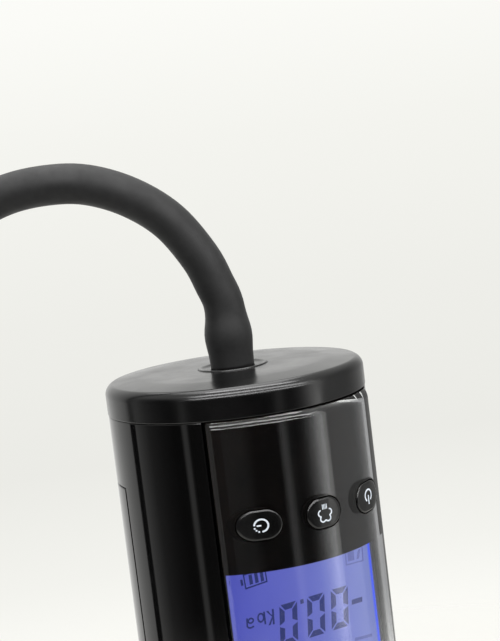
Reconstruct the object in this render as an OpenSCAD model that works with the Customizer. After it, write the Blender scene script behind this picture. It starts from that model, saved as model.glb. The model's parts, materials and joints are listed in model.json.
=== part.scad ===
// Hand-held cordless vacuum pump with a display, three keys and a soft hose on its end cap.
// It stands on its foot pad: +Z is up along the body, the display faces -Y, and the origin is
// the middle of the foot pad's underside. Angles round the body are counted from the front.

/* [Body] */
// Diameter of the end cap, the widest round of the body
body_d = 60; // [60:0.5:64]
// Height of the seam between the shell and the end cap
seam_z = 146; // [146:1:160]
// Height of the end cap above the seam
cap_h = 7.5; // [7.5:0.5:10]
// Radius that rounds the end cap's upper edge
cap_round = 2.5; // [2:0.5:3]
// How far the end cap's top falls towards its edge
cap_fall = 0.8; // [0.4:0.1:1.2]
// Wall of the shell and of the rear cover
wall = 2.2; // [1.8:0.1:2.4]

/* [Front panel] */
// Half of the angle that the clear front panel covers
panel_half = 45.4; // [44:0.1:46.4]
// How far the panel stands out of the shell
panel_proud = 1; // [0.6:0.1:1.2]
// Depth below the seam at which the upper black band ends
band_drop = 34.1; // [32:0.1:36]
// Height of the clear window between the two black bands
window_h = 50; // [44:1:50]
// Height of the lower black band
band_low_h = 14; // [8:1:20]

/* [Keys] */
// Depth of the keys' centres below the seam
key_drop = 23.4; // [20:0.1:24]
// Distance from key to key, across the body
key_pitch = 14.4; // [14:0.1:14.8]
// Width of a key across the body
key_w = 9; // [8.6:0.1:9.4]
// Height of a key
key_h = 6.8; // [6.4:0.1:7]
// How far a key goes in
key_travel = 0.5; // [0.3:0.1:0.6]

/* [Rear cover] */
// Half of the angle that the rear cover covers
rear_half = 82.5; // [76:0.5:84]
// Lower edge of the rear cover
rear_z0 = 16; // [16:1:20]
// Depth below the seam of the rear cover's upper edge
rear_drop = 15.6; // [14:0.1:18]

/* [Hose] */
// Outer diameter of the hose
hose_d = 9.3; // [8:0.1:10]
// Turn of the hose's plane from the body's left-hand side towards its back
hose_turn = 31; // [0:1:60]

/* [Hidden] */
$fn = 96;
cap_r = body_d / 2;
shell_r = cap_r - 0.1;
inner_r = shell_r - wall;
base_h = 10;                        // top of the base cap's rim, where the shell starts
gap = 0.25;                         // gap at a visible seam
slip = 0.1;                         // slip between pieces that plug together
top_z = seam_z + cap_h;
// front panel: clear moulding with a black print behind it
panel_r = shell_r + panel_proud;
panel_t = 2.2;
print_t = 0.25;
panel_in = panel_r - panel_t;
band_z = seam_z - band_drop;
window_z0 = band_z - window_h;
panel_z0 = window_z0 - band_low_h;
panel_z1 = seam_z - 0.3;
notch_half = panel_half + 1.5;
// display stack, counted back from the front
lcd_y = -18;
glass_t = 1.6;
light_y = lcd_y + glass_t;
board_y = light_y + 2.3;
board_t = 1.6;
board_back = board_y + board_t;
spine_y = board_back + 1.4;
spine_t = 1.2;
lcd_w = 39.2;
frame_x = 20.9;
lcd_h = window_h + 1;
lcd_z = window_z0 + 0.6;
// keys
key_z = seam_z - key_drop;
key_r = panel_r + 0.3;
key_gap = 0.2;
key_x = [-key_pitch, 0, key_pitch];
key_back = -18.2;
switch_front = -17.4;
plunger_r = 1.75;
// rear cover
rear_z1 = seam_z - rear_drop;
ledge_r = inner_r - 1.5;
ledge_deg = 4;
cover_screw_deg = 62;               // from the back
cover_screw_z = [30, 104];
boss_in = 23;
// power and pump
floor_z = 2.6;                      // inside floor of the base cap
socket_z = floor_z + 3.1;
cell_r = 9.2;
cell_h = 65;
cell_x = 9.6;
cell_y = -0.4;
cell_z = 15;
shelf_z = 83;
motor_x = -5;
motor_y = 6;
motor_z = shelf_z + 1.6;
motor_r = 12.2;
motor_h = 27;
case_z = motor_z + motor_h;
case_h = 16;
case_w = 26;
case_x0 = motor_x - 13;
case_x1 = 8;
crank_e = 1.2;                      // throw of the crank
crank_z = case_z + 3;
rod_z = crank_z + 5.6;
rod_t = 3.8;
bearing_z = rod_z + 0.4;
bearing_r = 4;
diaphragm_t = 1;
valve_x = case_x1 + diaphragm_t;
valve_t = 4;
head_x = valve_x + valve_t;
head_t = 6;
head_w = 22;
head_h = 15.8;
port_x = head_x + 3.6;
port_y = [motor_y - 5, motor_y + 5];
port_r = 1.45;
tube_in = 1.5;
tube_out = 2.5;
manifold_z = 138;                   // middle height of the manifold
coil_x = [-20, -8];
// spigot and hose
spigot_r = 4;
flange_r = 8;
barb_h = 11;
hose_r = hose_d / 2;
bore_r = 1.75;
connector_r = 6.2;
tip_r = 3.2;
// The hose's route: [towards the side, towards the back, up], turned by hose_turn. It rises from
// the spigot, arches over, hangs beside the body and lies in a loose turn behind it.
HOSE = [[0.15, 0, 165.4], [0.5, 0, 169], [1.7, 0, 172.6], [4.4, 0, 179.5], [10.4, 0, 188.5], [18.6, 0, 195], [28, 0, 199],
    [37, 0, 200], [46.5, 0, 199], [55.5, 0, 195.5], [63.5, 0, 189.5], [70, 0, 182], [75, 0, 172.5],
    [78.2, 0, 162], [79.7, 0, 150], [80, 0, 136], [80, 0, 112], [80, 0, 88], [80, 0.5, 64],
    [80, 3, 47], [80, 9, 31], [80, 19, 18], [80, 32, 8.8], [80, 46, 4.9], [77, 66, 4.7],
    [67.5, 84, 4.7], [52, 97, 4.7], [33, 103, 4.7], [13.5, 101.5, 4.8], [-2.5, 94, 5.4], [-16, 84, 6.3]];
ROUTE = [for (p = HOSE) [p[1] * sin(hose_turn) - p[0] * cos(hose_turn), p[0] * sin(hose_turn) + p[1] * cos(hose_turn), p[2]]];

function polar(r, a) = [r * sin(a), -r * cos(a)];

// ---- shared shapes ----

// Block of a ring: radii r0 to r1, mid angle a from the front, half angle h, heights z0 to z1.
module sector(r0, r1, a, h, z0, z1) {
    rotate([0, 0, a - h - 90])
        rotate_extrude(angle = 2 * h)
            translate([r0, z0]) square([r1 - r0, z1 - z0]);
}

module tube(r0, r1, z0, z1) {
    translate([0, 0, z0]) difference() {
        cylinder(r = r1, h = z1 - z0);
        translate([0, 0, -1]) cylinder(r = r0, h = z1 - z0 + 2);
    }
}

// Box given by its two corners.
module box(a, b) {
    translate(a) cube(b - a);
}

// Half section of a disc whose upper edge is rounded.
module rounded_half(r, h, round) {
    square([r - round, h]);
    square([r, h - round]);
    translate([r - round, h - round]) intersection() {
        circle(r = round);
        square(round);
    }
}

// Half section of the end cap: flat in the middle, falling towards a rounded edge.
module cap_half() {
    intersection() {
        union() {
            rounded_half(cap_r, cap_h - 0.6 * cap_fall, cap_round);
            square([cap_r - cap_round, cap_h]);
        }
        polygon([[0, 0], [cap_r, 0], [cap_r, cap_h - cap_fall], [cap_r - 9, cap_h], [0, cap_h]]);
    }
}

// Cylinder along +Y from y0 to y1.
module rod_y(r, x, z, y0, y1) {
    translate([x, y0, z]) rotate([-90, 0, 0]) cylinder(r = r, h = y1 - y0);
}

// Cylinder along +X from x0 to x1.
module rod_x(r, y, z, x0, x1) {
    translate([x0, y, z]) rotate([0, 90, 0]) cylinder(r = r, h = x1 - x0);
}

// Slot with round ends along X, cut through along Y.
module pill_y(w, h, x, z, y0, y1) {
    translate([x, y1, z]) rotate([90, 0, 0]) linear_extrude(height = y1 - y0) {
        square([w - h, h], center = true);
        for (s = [-1, 1])
            translate([s * (w - h) / 2, 0]) circle(d = h);
    }
}

module radial(a, z) {
    translate([0, 0, z]) rotate([0, 0, a - 90]) rotate([0, 90, 0]) children();
}

// ---- casing ----

module shell() {
    lug_r = inner_r - gap + 0.4;
    color("#101012") difference() {
        union() {
            tube(inner_r, shell_r, base_h, seam_z);
            sector(ledge_r, inner_r + 0.6, 180, rear_half + 3, rear_z0 - 1.4, rear_z1 + 3);
            for (s = [-1, 1], z = cover_screw_z) {
                sector(ledge_r - 0.6, lug_r, 180 + s * 68, 12.4, z - 4, z + 4);
                radial(180 + s * cover_screw_deg, z)
                    translate([0, 0, boss_in]) cylinder(r = 2.8, h = inner_r - gap - boss_in - 0.2);
            }
        }
        // seat of the front panel, then the opening behind it
        sector(panel_in - print_t - 0.05, shell_r + 1, 0, notch_half, panel_z0 - 0.8, seam_z + 1);
        sector(20, panel_in, 0, panel_half - 0.2, panel_z0 + 2, seam_z + 1);
        // seat of the rear cover, then the opening that leaves a ledge round it and the lugs
        sector(inner_r - gap, shell_r + 1, 180, rear_half, rear_z0, rear_z1);
        sector(ledge_r - 1, inner_r, 180, rear_half - ledge_deg, rear_z0 + 2.2, cover_screw_z[0] - 4.6);
        sector(ledge_r - 1, inner_r, 180, rear_half - ledge_deg, cover_screw_z[0] + 4.6, cover_screw_z[1] - 4.6);
        sector(ledge_r - 1, inner_r, 180, rear_half - ledge_deg, cover_screw_z[1] + 4.6, rear_z1 - 2.2);
        for (z = cover_screw_z)
            sector(ledge_r - 1, inner_r, 180, 52, z - 6, z + 6);
        for (s = [-1, 1], z = cover_screw_z)
            radial(180 + s * cover_screw_deg, z)
                translate([0, 0, boss_in - 1]) cylinder(r = 1.05, h = 10);
    }
}

module rear_cover() {
    color("#101012") difference() {
        sector(inner_r, shell_r, 180, rear_half - 0.5, rear_z0 + gap, rear_z1 - gap);
        for (s = [-1, 1], z = cover_screw_z)
            radial(180 + s * cover_screw_deg, z) {
                translate([0, 0, inner_r - 2]) cylinder(r = 1.3, h = 6);
                translate([0, 0, shell_r - 1.3]) cylinder(r = 2.3, h = 3);
            }
        // slots that let the pumped air out
        for (k = [-3:3])
            pill_y(9, 1.6, 0, 112 + k * 3.2, 20, 32);
    }
}

module rear_cover_screws() {
    color("#3a3a3c") for (s = [-1, 1], z = cover_screw_z)
        radial(180 + s * cover_screw_deg, z) difference() {
            union() {
                translate([0, 0, boss_in + 0.3]) cylinder(r = 1, h = shell_r - boss_in - 1.6);
                translate([0, 0, shell_r - 1.3]) cylinder(r = 2.1, h = 1.1);
            }
            for (t = [0, 90])
                rotate([0, 0, t]) translate([-1.2, -0.25, shell_r - 0.9]) cube([2.4, 0.5, 2]);
        }
}

module end_cap() {
    color("#1b1b1d") difference() {
        union() {
            translate([0, 0, seam_z]) rotate_extrude() cap_half();
            translate([0, 0, seam_z - 4]) cylinder(r = inner_r - slip, h = 5);
        }
        translate([0, 0, seam_z - 5]) cylinder(r = inner_r - 2.4, h = 7.5);
        translate([0, 0, seam_z + 2]) rotate_extrude() rounded_half(cap_r - wall - 0.6, cap_h - 4.4, 1.6);
        translate([0, 0, seam_z]) cylinder(r = spigot_r + slip, h = cap_h + 1);
        translate([0, 0, top_z - 1]) cylinder(r = flange_r + slip, h = 2);
        // the skirt makes room for the front panel's print and the keys
        sector(20, cap_r - 1.5, 0, notch_half, seam_z - 5, seam_z - 0.1);
    }
}

module base_cap() {
    color("#1b1b1d") difference() {
        union() {
            translate([0, 0, base_h]) mirror([0, 0, 1]) rotate_extrude() rounded_half(cap_r, base_h - 0.6, 4);
            translate([0, 0, base_h - 1]) cylinder(r = inner_r - slip, h = 4);
        }
        translate([0, 0, base_h + 4]) mirror([0, 0, 1])
            rotate_extrude() rounded_half(inner_r - 2.4, base_h + 1.4, 0.6);
        translate([0, 0, -1]) cylinder(r = 24.2, h = 2.1);
        pill_y(9.6, 3.8, 0, socket_z, 22, 32);
        for (a = [0, 120, 240]) rotate([0, 0, a]) translate([0, -14, 0]) {
            translate([0, 0, -1]) cylinder(r = 1.3, h = 5);
            translate([0, 0, -1]) cylinder(r = 2.3, h = 3);
        }
    }
}

module base_screws() {
    color("silver") for (a = [0, 120, 240])
        rotate([0, 0, a]) translate([0, -14, 0]) difference() {
            union() {
                translate([0, 0, 2]) cylinder(r = 1, h = 7.5);
                translate([0, 0, 1.15]) cylinder(r = 2.1, h = 0.85);
            }
            for (t = [0, 90])
                rotate([0, 0, t]) translate([-1.3, -0.25, 1]) cube([2.6, 0.5, 0.6]);
        }
}

module foot_pad() {
    color("#242424") cylinder(r = 24, h = 1.1);
}

// ---- front panel and keys ----

// Wedge that bevels one side edge of the panel.
module panel_side_cut(s) {
    linear_extrude(height = seam_z + 5)
        polygon([polar(panel_r - 1, s * panel_half), polar(panel_r + 2, s * (panel_half + 2)),
            polar(panel_r + 2, s * (panel_half - 3)), polar(panel_r + 0.05, s * (panel_half - 2.8))]);
}

module front_panel() {
    color("#8c9bb0", 0.35) difference() {
        rotate([0, 0, -panel_half - 90]) rotate_extrude(angle = 2 * panel_half)
            polygon([[panel_in, panel_z0], [panel_r - 0.9, panel_z0], [panel_r, panel_z0 + 1.6],
                [panel_r, panel_z1 - 2], [panel_r - 0.9, panel_z1], [panel_in, panel_z1]]);
        for (s = [-1, 1])
            panel_side_cut(s);
        key_holes();
    }
}

module key_holes() {
    for (x = key_x)
        pill_y(key_w + 2 * key_gap, key_h + 2 * key_gap, x, key_z, -cap_r - 4, -10);
}

module panel_mask() {
    color("#060606") difference() {
        union() {
            sector(panel_in - print_t, panel_in, 0, panel_half, band_z, panel_z1);
            sector(panel_in - print_t, panel_in, 0, panel_half, panel_z0, window_z0);
        }
        key_holes();
    }
}

// A key: its cap in the panel's hole, a flange that keeps it in, and a stem down to the switch.
module key(i) {
    lip_r = panel_in - print_t - 0.3;
    color("#141416") {
        intersection() {
            pill_y(key_w, key_h, key_x[i], key_z, -cap_r - 4, -15);
            tube(lip_r - 0.8, key_r, key_z - 10, key_z + 10);
        }
        intersection() {
            pill_y(key_w + 1, key_h + 1.6, key_x[i], key_z, -cap_r - 4, key_back - 0.1);
            tube(lip_r - 1.4, lip_r, key_z - 10, key_z + 10);
        }
        rod_y(2.2, key_x[i], key_z, -sqrt(pow(lip_r - 1, 2) - pow(key_x[i], 2)) - 0.4, key_back);
    }
}

module switch(i) {
    color("#2b2b2b") difference() {
        box([key_x[i] - 3, switch_front, key_z - 3], [key_x[i] + 3, board_y, key_z + 3]);
        rod_y(plunger_r + 0.08, key_x[i], key_z, switch_front - 1, switch_front + 2);
    }
}

module plunger(i) {
    color("white") rod_y(plunger_r, key_x[i], key_z, key_back, key_back + 1.6);
}

// ---- display ----

board_screw_x = 18;
board_screw_z = [window_z0 - 2.6, seam_z - 8];

module display_board() {
    color("#12502c") difference() {
        box([-21, board_y, window_z0 - 6], [21, board_back, seam_z - 5]);
        for (s = [-1, 1], z = board_screw_z)
            rod_y(1.15, s * board_screw_x, z, board_y - 1, board_back + 1);
    }
}

module board_screws() {
    color("silver") for (s = [-1, 1], z = board_screw_z) {
        rod_y(1.8, s * board_screw_x, z, board_y - 1.2, board_y);
        rod_y(1, s * board_screw_x, z, board_y, spine_y + 1);
    }
}

module board_chips() {
    color("#1a1a1a") {
        box([-5, board_back, 88], [5, board_back + 1.2, 98]);
        box([9, board_back, 92], [14, board_back + 1.2, 96]);
        box([-14, board_back, 76], [-8, board_back + 1.2, 80]);
        box([6, board_back, 74], [9, board_back + 1.2, 80]);
    }
}

module lcd_glass() {
    color("#6f74c8") box([-lcd_w / 2, lcd_y, lcd_z], [lcd_w / 2, light_y, lcd_z + lcd_h]);
}

module backlight() {
    color("#5a66ff")
        box([-lcd_w / 2, light_y, lcd_z - 0.4], [lcd_w / 2, board_y, lcd_z + lcd_h + 0.4]);
}

module lcd_frame() {
    color("white") difference() {
        box([-frame_x, lcd_y + 0.1, lcd_z - 1.2], [frame_x, board_y, lcd_z + lcd_h + 1.2]);
        box([-lcd_w / 2 - 0.2, lcd_y - 1, lcd_z - 0.5], [lcd_w / 2 + 0.2, board_y + 1, lcd_z + lcd_h + 0.5]);
    }
}

// ---- chassis and power ----

module chassis() {
    color("#3c3f44") difference() {
        union() {
            translate([0, 0, base_h + 1]) cylinder(r = 25, h = 1.6);
            box([-19, spine_y, base_h + 1], [19, spine_y + spine_t, seam_z - 14]);
            intersection() {
                translate([0, 0, shelf_z]) cylinder(r = 24, h = 1.6);
                box([-30, spine_y, shelf_z - 1], [30, 30, shelf_z + 4]);
            }
            box([case_x0 + 3, spine_y + 0.5, case_z + 3], [case_x1 - 3, motor_y - 12, case_z + 13]);
            for (s = [-1, 1]) {
                rod_y(2.6, s * board_screw_x, board_screw_z[0], board_back, spine_y + 0.5);
                rod_y(2.6, s * board_screw_x, board_screw_z[1], board_back, spine_y + 2);
                box([s * board_screw_x - 1.2, spine_y, seam_z - 16], [s * board_screw_x + 1.2, spine_y + 1.6,
                    board_screw_z[1]]);
            }
            for (a = [0, 120, 240]) rotate([0, 0, a])
                translate([0, -14, floor_z]) cylinder(r = 2.8, h = base_h - 1);
        }
        for (s = [-1, 1], z = board_screw_z)
            rod_y(1.05, s * board_screw_x, z, board_back - 1, spine_y + 4);
        for (a = [0, 120, 240]) rotate([0, 0, a])
            translate([0, -14, 1]) cylinder(r = 1.05, h = 9);
        translate([motor_x, motor_y, shelf_z - 1]) cylinder(r = 5.5, h = 4);
        for (x = [motor_x - 6, motor_x + 6])
            rod_y(1.05, x, case_z + 8, spine_y - 1, motor_y);
    }
}

module battery_cell(s) {
    color("#2f6fb0") translate([s * cell_x, cell_y, cell_z]) {
        cylinder(r = cell_r, h = cell_h - 1);
        cylinder(r = 4, h = cell_h);
    }
}

module battery_cradle() {
    color("#3c3f44") difference() {
        box([-15.5, cell_y + 1, base_h + 2.6], [15.5, cell_y + cell_r + 1.4, shelf_z]);
        for (s = [-1, 1])
            translate([s * cell_x, cell_y, base_h]) cylinder(r = cell_r + 0.15, h = 90);
    }
}

module battery_contacts() {
    top = cell_z + cell_h;
    color("#c8c0a0") {
        box([-15, cell_y - 3, cell_z - 0.6], [15, cell_y + 0.5, cell_z]);
        for (s = [-1, 1]) {
            box([s * cell_x - 1.5, cell_y - 3, base_h + 2.6], [s * cell_x + 1.5, cell_y - 2, cell_z - 0.3]);
            box([s * cell_x - 3, cell_y - 3, top], [s * cell_x + 3, cell_y + 0.5, top + 0.6]);
            box([s * cell_x - 1.5, cell_y - 3, top + 0.3], [s * cell_x + 1.5, cell_y - 2, shelf_z]);
        }
    }
}

module charge_board() {
    color("#12502c") box([-7.5, 9, floor_z], [7.5, 22.5, floor_z + 1.5]);
}

module charge_socket() {
    color("silver") translate([0, 0, socket_z]) difference() {
        pill_y(8.9, 3.2, 0, 0, 17, 28.4);
        pill_y(8.2, 2.5, 0, 0, 20, 30);
    }
}

// ---- pump ----

module motor_can() {
    color("silver") translate([motor_x, motor_y, motor_z]) difference() {
        union() {
            translate([0, 0, 3]) cylinder(r = motor_r, h = motor_h - 3);
            translate([0, 0, motor_h]) cylinder(r = 3.1, h = 1.6);
        }
        translate([0, 0, 2]) cylinder(r = motor_r - 1, h = motor_h - 3);
        translate([0, 0, 2]) cylinder(r = 1.05, h = motor_h + 2);
    }
}

module motor_end_bell() {
    color("#e8e4d8") translate([motor_x, motor_y, motor_z]) difference() {
        union() {
            cylinder(r = motor_r, h = 3);
            translate([0, 0, -1.4]) cylinder(r = 4.5, h = 2);
        }
        translate([0, 0, -0.4]) cylinder(r = 1.05, h = 5);
    }
}

module motor_magnets() {
    color("#4a4a4a") translate([motor_x, motor_y, 0]) for (a = [90, 270])
        sector(8.6, motor_r - 1.05, a, 62, motor_z + 4, motor_z + 24);
}

module motor_armature() {
    color("#b5652a") translate([motor_x, motor_y, motor_z + 6]) difference() {
        union() {
            for (a = [0, 120, 240])
                rotate([0, 0, a]) {
                    translate([0, -1.5, 3]) cube([7.6, 3, 14]);
                    intersection() {
                        translate([6, -6, 3]) cube([3, 12, 14]);
                        translate([0, 0, 3]) cylinder(r = 8.2, h = 14);
                    }
                }
            cylinder(r = 3.2, h = 20);
        }
        translate([0, 0, -1]) cylinder(r = 1, h = 30);
    }
}

module motor_shaft() {
    color("silver") translate([motor_x, motor_y, motor_z - 0.2]) cylinder(r = 1, h = motor_h + 6.6);
}

module crankcase() {
    color("#26282c") difference() {
        box([case_x0, motor_y - 12, case_z], [case_x1, motor_y + 12, case_z + case_h - 1.6]);
        box([case_x0 + 2, motor_y - 10, case_z + 2], [case_x1 - 2, motor_y + 10, case_z + case_h]);
        rod_x(7.6, motor_y, rod_z + rod_t / 2, 0, case_x1 + 1);
        translate([motor_x, motor_y, case_z - 1]) cylinder(r = 3.3, h = 4);
        for (x = [motor_x - 6, motor_x + 6])
            rod_y(1.05, x, case_z + 8, motor_y - 13, motor_y - 9);
    }
}

module crankcase_lid() {
    color("#26282c")
        box([case_x0, motor_y - 12, case_z + case_h - 1.6], [case_x1, motor_y + 12, case_z + case_h]);
}

module crankcase_screws() {
    color("silver") for (x = [motor_x - 6, motor_x + 6]) {
        rod_y(1, x, case_z + 8, spine_y, motor_y - 9.7);
        rod_y(1.9, x, case_z + 8, spine_y - 1.3, spine_y);
    }
}

module crank() {
    color("#c9a24a") translate([motor_x, motor_y, crank_z]) difference() {
        union() {
            cylinder(r = 4, h = 4.4);
            translate([crank_e, 0, 0]) cylinder(r = 1.5, h = 9);
            translate([crank_e, 0, 4.4]) cylinder(r = 2.3, h = 0.8);
            intersection() {
                cylinder(r = 7, h = 4.4);
                translate([-8, -8, 0]) cube([8, 16, 4.4]);
            }
        }
        translate([0, 0, -1]) cylinder(r = 1, h = 4.6);
    }
}

module rod_bearing() {
    color("silver") translate([motor_x + crank_e, motor_y, bearing_z])
        tube(1.54, bearing_r, 0, 3);
}

module connecting_rod() {
    mid = rod_z + rod_t / 2;
    color("#ddd8c8") difference() {
        union() {
            translate([motor_x + crank_e, motor_y, rod_z]) cylinder(r = 6, h = rod_t);
            box([motor_x + crank_e, motor_y - 2, mid - 1.6], [case_x1 - 1, motor_y + 2, mid + 1.6]);
            rod_x(3.4, motor_y, mid, case_x1 - 1.4, case_x1);
            rod_x(1.2, motor_y, mid, case_x1 - 0.1, valve_x + 0.1);
            rod_x(3.6, motor_y, mid, valve_x, valve_x + 0.9);
        }
        translate([motor_x + crank_e, motor_y, rod_z - 1]) cylinder(r = bearing_r, h = rod_t + 2);
    }
}

module diaphragm() {
    mid = rod_z + rod_t / 2;
    color("#1d1d1d") difference() {
        rod_x(7.6 + 1.6, motor_y, mid, case_x1, valve_x);
        rod_x(1.2, motor_y, mid, case_x1 - 1, valve_x + 1);
    }
}

head_z0 = rod_z + rod_t / 2 - 7.9;

module head_screw_places() {
    for (s = [-1, 1], t = [-1, 1])
        translate([0, motor_y + s * 9.3, rod_z + rod_t / 2 + t * 6.1]) children();
}

module valve_plate() {
    mid = rod_z + rod_t / 2;
    color("#ddd8c8") difference() {
        box([valve_x, motor_y - 11, mid - 7.9], [head_x, motor_y + 11, mid + 7.9]);
        rod_x(6.8, motor_y, mid, valve_x - 1, valve_x + 2.4);
        for (s = [-1, 1])
            rod_x(0.8, motor_y + s * 4, mid, valve_x, head_x + 1);
        head_screw_places() rod_x(1.1, 0, 0, valve_x - 1, head_x + 1);
    }
}

module check_valves() {
    mid = rod_z + rod_t / 2;
    color("#1d1d1d") for (s = [-1, 1])
        rod_x(2.6, motor_y + s * 4, mid, head_x, head_x + 0.6);
}

module pump_head() {
    mid = rod_z + rod_t / 2;
    color("#26282c") difference() {
        union() {
            box([head_x, motor_y - 11, mid - 7.9], [head_x + head_t, motor_y + 11, mid + 7.9]);
            for (y = port_y)
                translate([port_x, y, mid + 7.8]) cylinder(r = port_r, h = 3.6);
        }
        for (s = [-1, 1])
            rod_x(3.2, motor_y + s * 4.4, mid, head_x - 1, head_x + 4.4);
        for (y = port_y)
            translate([port_x, y, mid]) cylinder(r = 0.8, h = 20);
        head_screw_places() {
            rod_x(1.1, 0, 0, head_x - 1, head_x + head_t + 1);
            rod_x(1.8, 0, 0, head_x + head_t - 1.2, head_x + head_t + 1);
        }
    }
}

module pump_head_screws() {
    color("silver") head_screw_places() {
        rod_x(1, 0, 0, valve_x, head_x + head_t - 1);
        rod_x(1.6, 0, 0, head_x + head_t - 1.2, head_x + head_t - 0.1);
    }
}

// Tube stub given by its end on a nipple, standing on z0.
module exhaust_muffler() {
    z0 = rod_z + rod_t / 2 + 8.2;
    color("#e8e8e0") translate([port_x, port_y[1], z0]) difference() {
        cylinder(r = 3, h = 8);
        translate([0, 0, -1]) cylinder(r = tube_in, h = 5.2);
    }
}

module pump_tube() {
    z0 = rod_z + rod_t / 2 + 8.2;
    bend = 4;
    run = port_x - bend - 7.5;
    color("#d8d8d4") {
        translate([port_x, port_y[0], 0]) tube(tube_in, tube_out, z0, manifold_z - bend);
        translate([port_x - bend, port_y[0], manifold_z - bend]) rotate([90, 0, 0])
            rotate_extrude(angle = 90) translate([(tube_in + tube_out) / 2 + bend - 2, 0]) difference() {
                circle(r = tube_out);
                circle(r = tube_in);
            }
        translate([port_x - bend - run, port_y[0], manifold_z]) rotate([0, 90, 0]) tube(tube_in, tube_out, 0, run);
    }
}

module air_manifold() {
    color("#3c3f44") difference() {
        union() {
            box([-5, -5, manifold_z - 3.6], [5, 5, manifold_z + 3.5]);
            rod_x(port_r, port_y[0], manifold_z, 4.9, 9);
            rod_y(port_r, 0, manifold_z, -8, -4.9);
        }
        translate([0, 0, manifold_z - 1]) cylinder(r = bore_r, h = 6);
        translate([0, 0, manifold_z + 1.6]) cylinder(r = spigot_r + 0.02, h = 3);
        rod_x(0.8, port_y[0], manifold_z, -6, 10);
        rod_y(0.8, 0, manifold_z, -9, 1);
    }
}

module pressure_sensor() {
    color("#e8e8e0") difference() {
        union() {
            box([-3.5, board_back, manifold_z - 3], [3.5, board_back + 3.2, manifold_z + 2.5]);
            rod_y(port_r, 0, manifold_z, board_back + 3, board_back + 4.2);
        }
        rod_y(0.8, 0, manifold_z, board_back + 1, board_back + 5);
    }
}

module sensor_tube() {
    color("#d8d8d4") difference() {
        rod_y(tube_out - 0.3, 0, manifold_z, board_back + 3.3, -5.1);
        rod_y(tube_in, 0, manifold_z, board_back + 3, -5);
    }
}

module release_valve() {
    color("#8a8d90") difference() {
        union() {
            box([coil_x[0] - 1, -5.5, manifold_z - 5], [coil_x[1], 5.5, manifold_z + 5]);
            rod_x(3, port_y[0], manifold_z, coil_x[1] - 0.1, -5);
        }
        box([coil_x[0], -6, manifold_z - 4], [coil_x[1] - 1, 6, manifold_z + 4]);
        rod_x(2.1, 0, manifold_z, coil_x[0] - 0.5, coil_x[0] + 1);
        rod_x(0.8, port_y[0], manifold_z, coil_x[1] - 3, -4);
    }
}

module release_coil() {
    color("#b5652a") difference() {
        rod_x(3.9, 0, manifold_z, coil_x[0] + 0.2, coil_x[1] - 2.4);
        rod_x(2.1, 0, manifold_z, coil_x[0], coil_x[1]);
    }
}

module release_plunger() {
    color("silver") {
        rod_x(2, 0, manifold_z, coil_x[0] + 2.5, coil_x[1] - 1.3);
        rod_x(2.4, 0, manifold_z, coil_x[1] - 1.6, coil_x[1] - 1);
    }
}

// The plunger's return spring, as the closed outline of its turns.
module release_spring() {
    color("silver") difference() {
        rod_x(1.8, 0, manifold_z, coil_x[0] - 0.5, coil_x[0] + 2.5);
        rod_x(1.2, 0, manifold_z, coil_x[0] - 2, coil_x[0] + 3);
    }
}

// ---- spigot and hose ----

module hose_spigot() {
    color("#1b1b1d") difference() {
        union() {
            translate([0, 0, top_z - 1]) cylinder(r = flange_r, h = 1);
            translate([0, 0, manifold_z + 1.6]) cylinder(r = spigot_r, h = top_z - manifold_z - 2);
            translate([0, 0, top_z - 0.5]) cylinder(r = 3.4, h = barb_h + 0.5);
            for (z = [2.4, 6.4])
                translate([0, 0, top_z + z]) cylinder(r1 = 4, r2 = 3.4, h = 3);
        }
        translate([0, 0, manifold_z]) cylinder(r = bore_r, h = 40);
    }
}

module spigot_nut() {
    color("silver") difference() {
        translate([0, 0, seam_z + 2.5]) cylinder(r = 7, h = cap_h - 4.9, $fn = 6);
        translate([0, 0, seam_z]) cylinder(r = spigot_r + 0.05, h = 12);
    }
}

// Rings of a tube along points p: each ring stands square to the line through its neighbours, and
// its first side is carried on from the ring before, so the tube doesn't twist.
function along(p, i) = let (a = p[max(i - 1, 0)], b = p[min(i + 1, len(p) - 1)]) (b - a) / norm(b - a);
function side(p, i) = let (d = along(p, i), u = i == 0 ? [0, 1, 0] : side(p, i - 1), w = u - (u * d) * d) w / norm(w);
function sweep(p, r, n) = [for (i = [0:len(p) - 1]) let (d = along(p, i), u = side(p, i), v = cross(d, u))
    for (k = [0:n - 1]) p[i] + r * (cos(360 * k / n) * u + sin(360 * k / n) * v)];
function skin(rings, n) = concat(
    [for (k = [1:n - 2]) [0, k, k + 1]],
    [for (i = [0:rings - 2], k = [0:n - 1], h = [0, 1]) let (a = i * n + k, b = i * n + (k + 1) % n)
        h == 0 ? [a, b + n, b] : [a, a + n, b + n]],
    [for (k = [1:n - 2], e = (rings - 1) * n) [e, e + k + 1, e + k]]);

module hose() {
    sides = 12;
    h = 12;
    color("#26272a") {
        // the end that is stretched over the spigot's barbs
        translate([0, 0, top_z]) rotate_extrude() polygon([[4.05, 0], [hose_r + 0.4, 0], [hose_r + 0.55, 3],
            [hose_r + 0.9, 6], [hose_r + 0.85, 8.4], [hose_r + 0.1, h], [hose_r + 0.1, h + 1],
            [0, h + 1], [0, h - 1], [3.5, h - 1], [4.05, h - 3]]);
        polyhedron(points = sweep(ROUTE, hose_r, sides), faces = skin(len(ROUTE), sides));
    }
}

// Taper nozzle on the hose's far end, lying on the same surface as the foot pad.
module hose_connector() {
    end = ROUTE[len(ROUTE) - 1];
    way = end - ROUTE[len(ROUTE) - 2];
    color("#1b1b1d") translate(end)
        rotate([0, 90 - atan2(way[2], norm([way[0], way[1]])), atan2(way[1], way[0])]) difference() {
            union() {
                cylinder(r = connector_r, h = 5);
                translate([0, 0, 4]) cylinder(r = 4.6, h = 8);
                translate([0, 0, 11.99]) cylinder(r1 = 4.59, r2 = tip_r, h = 14.01);
            }
            translate([0, 0, -1]) cylinder(r = bore_r, h = 30);
        }
}

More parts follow.
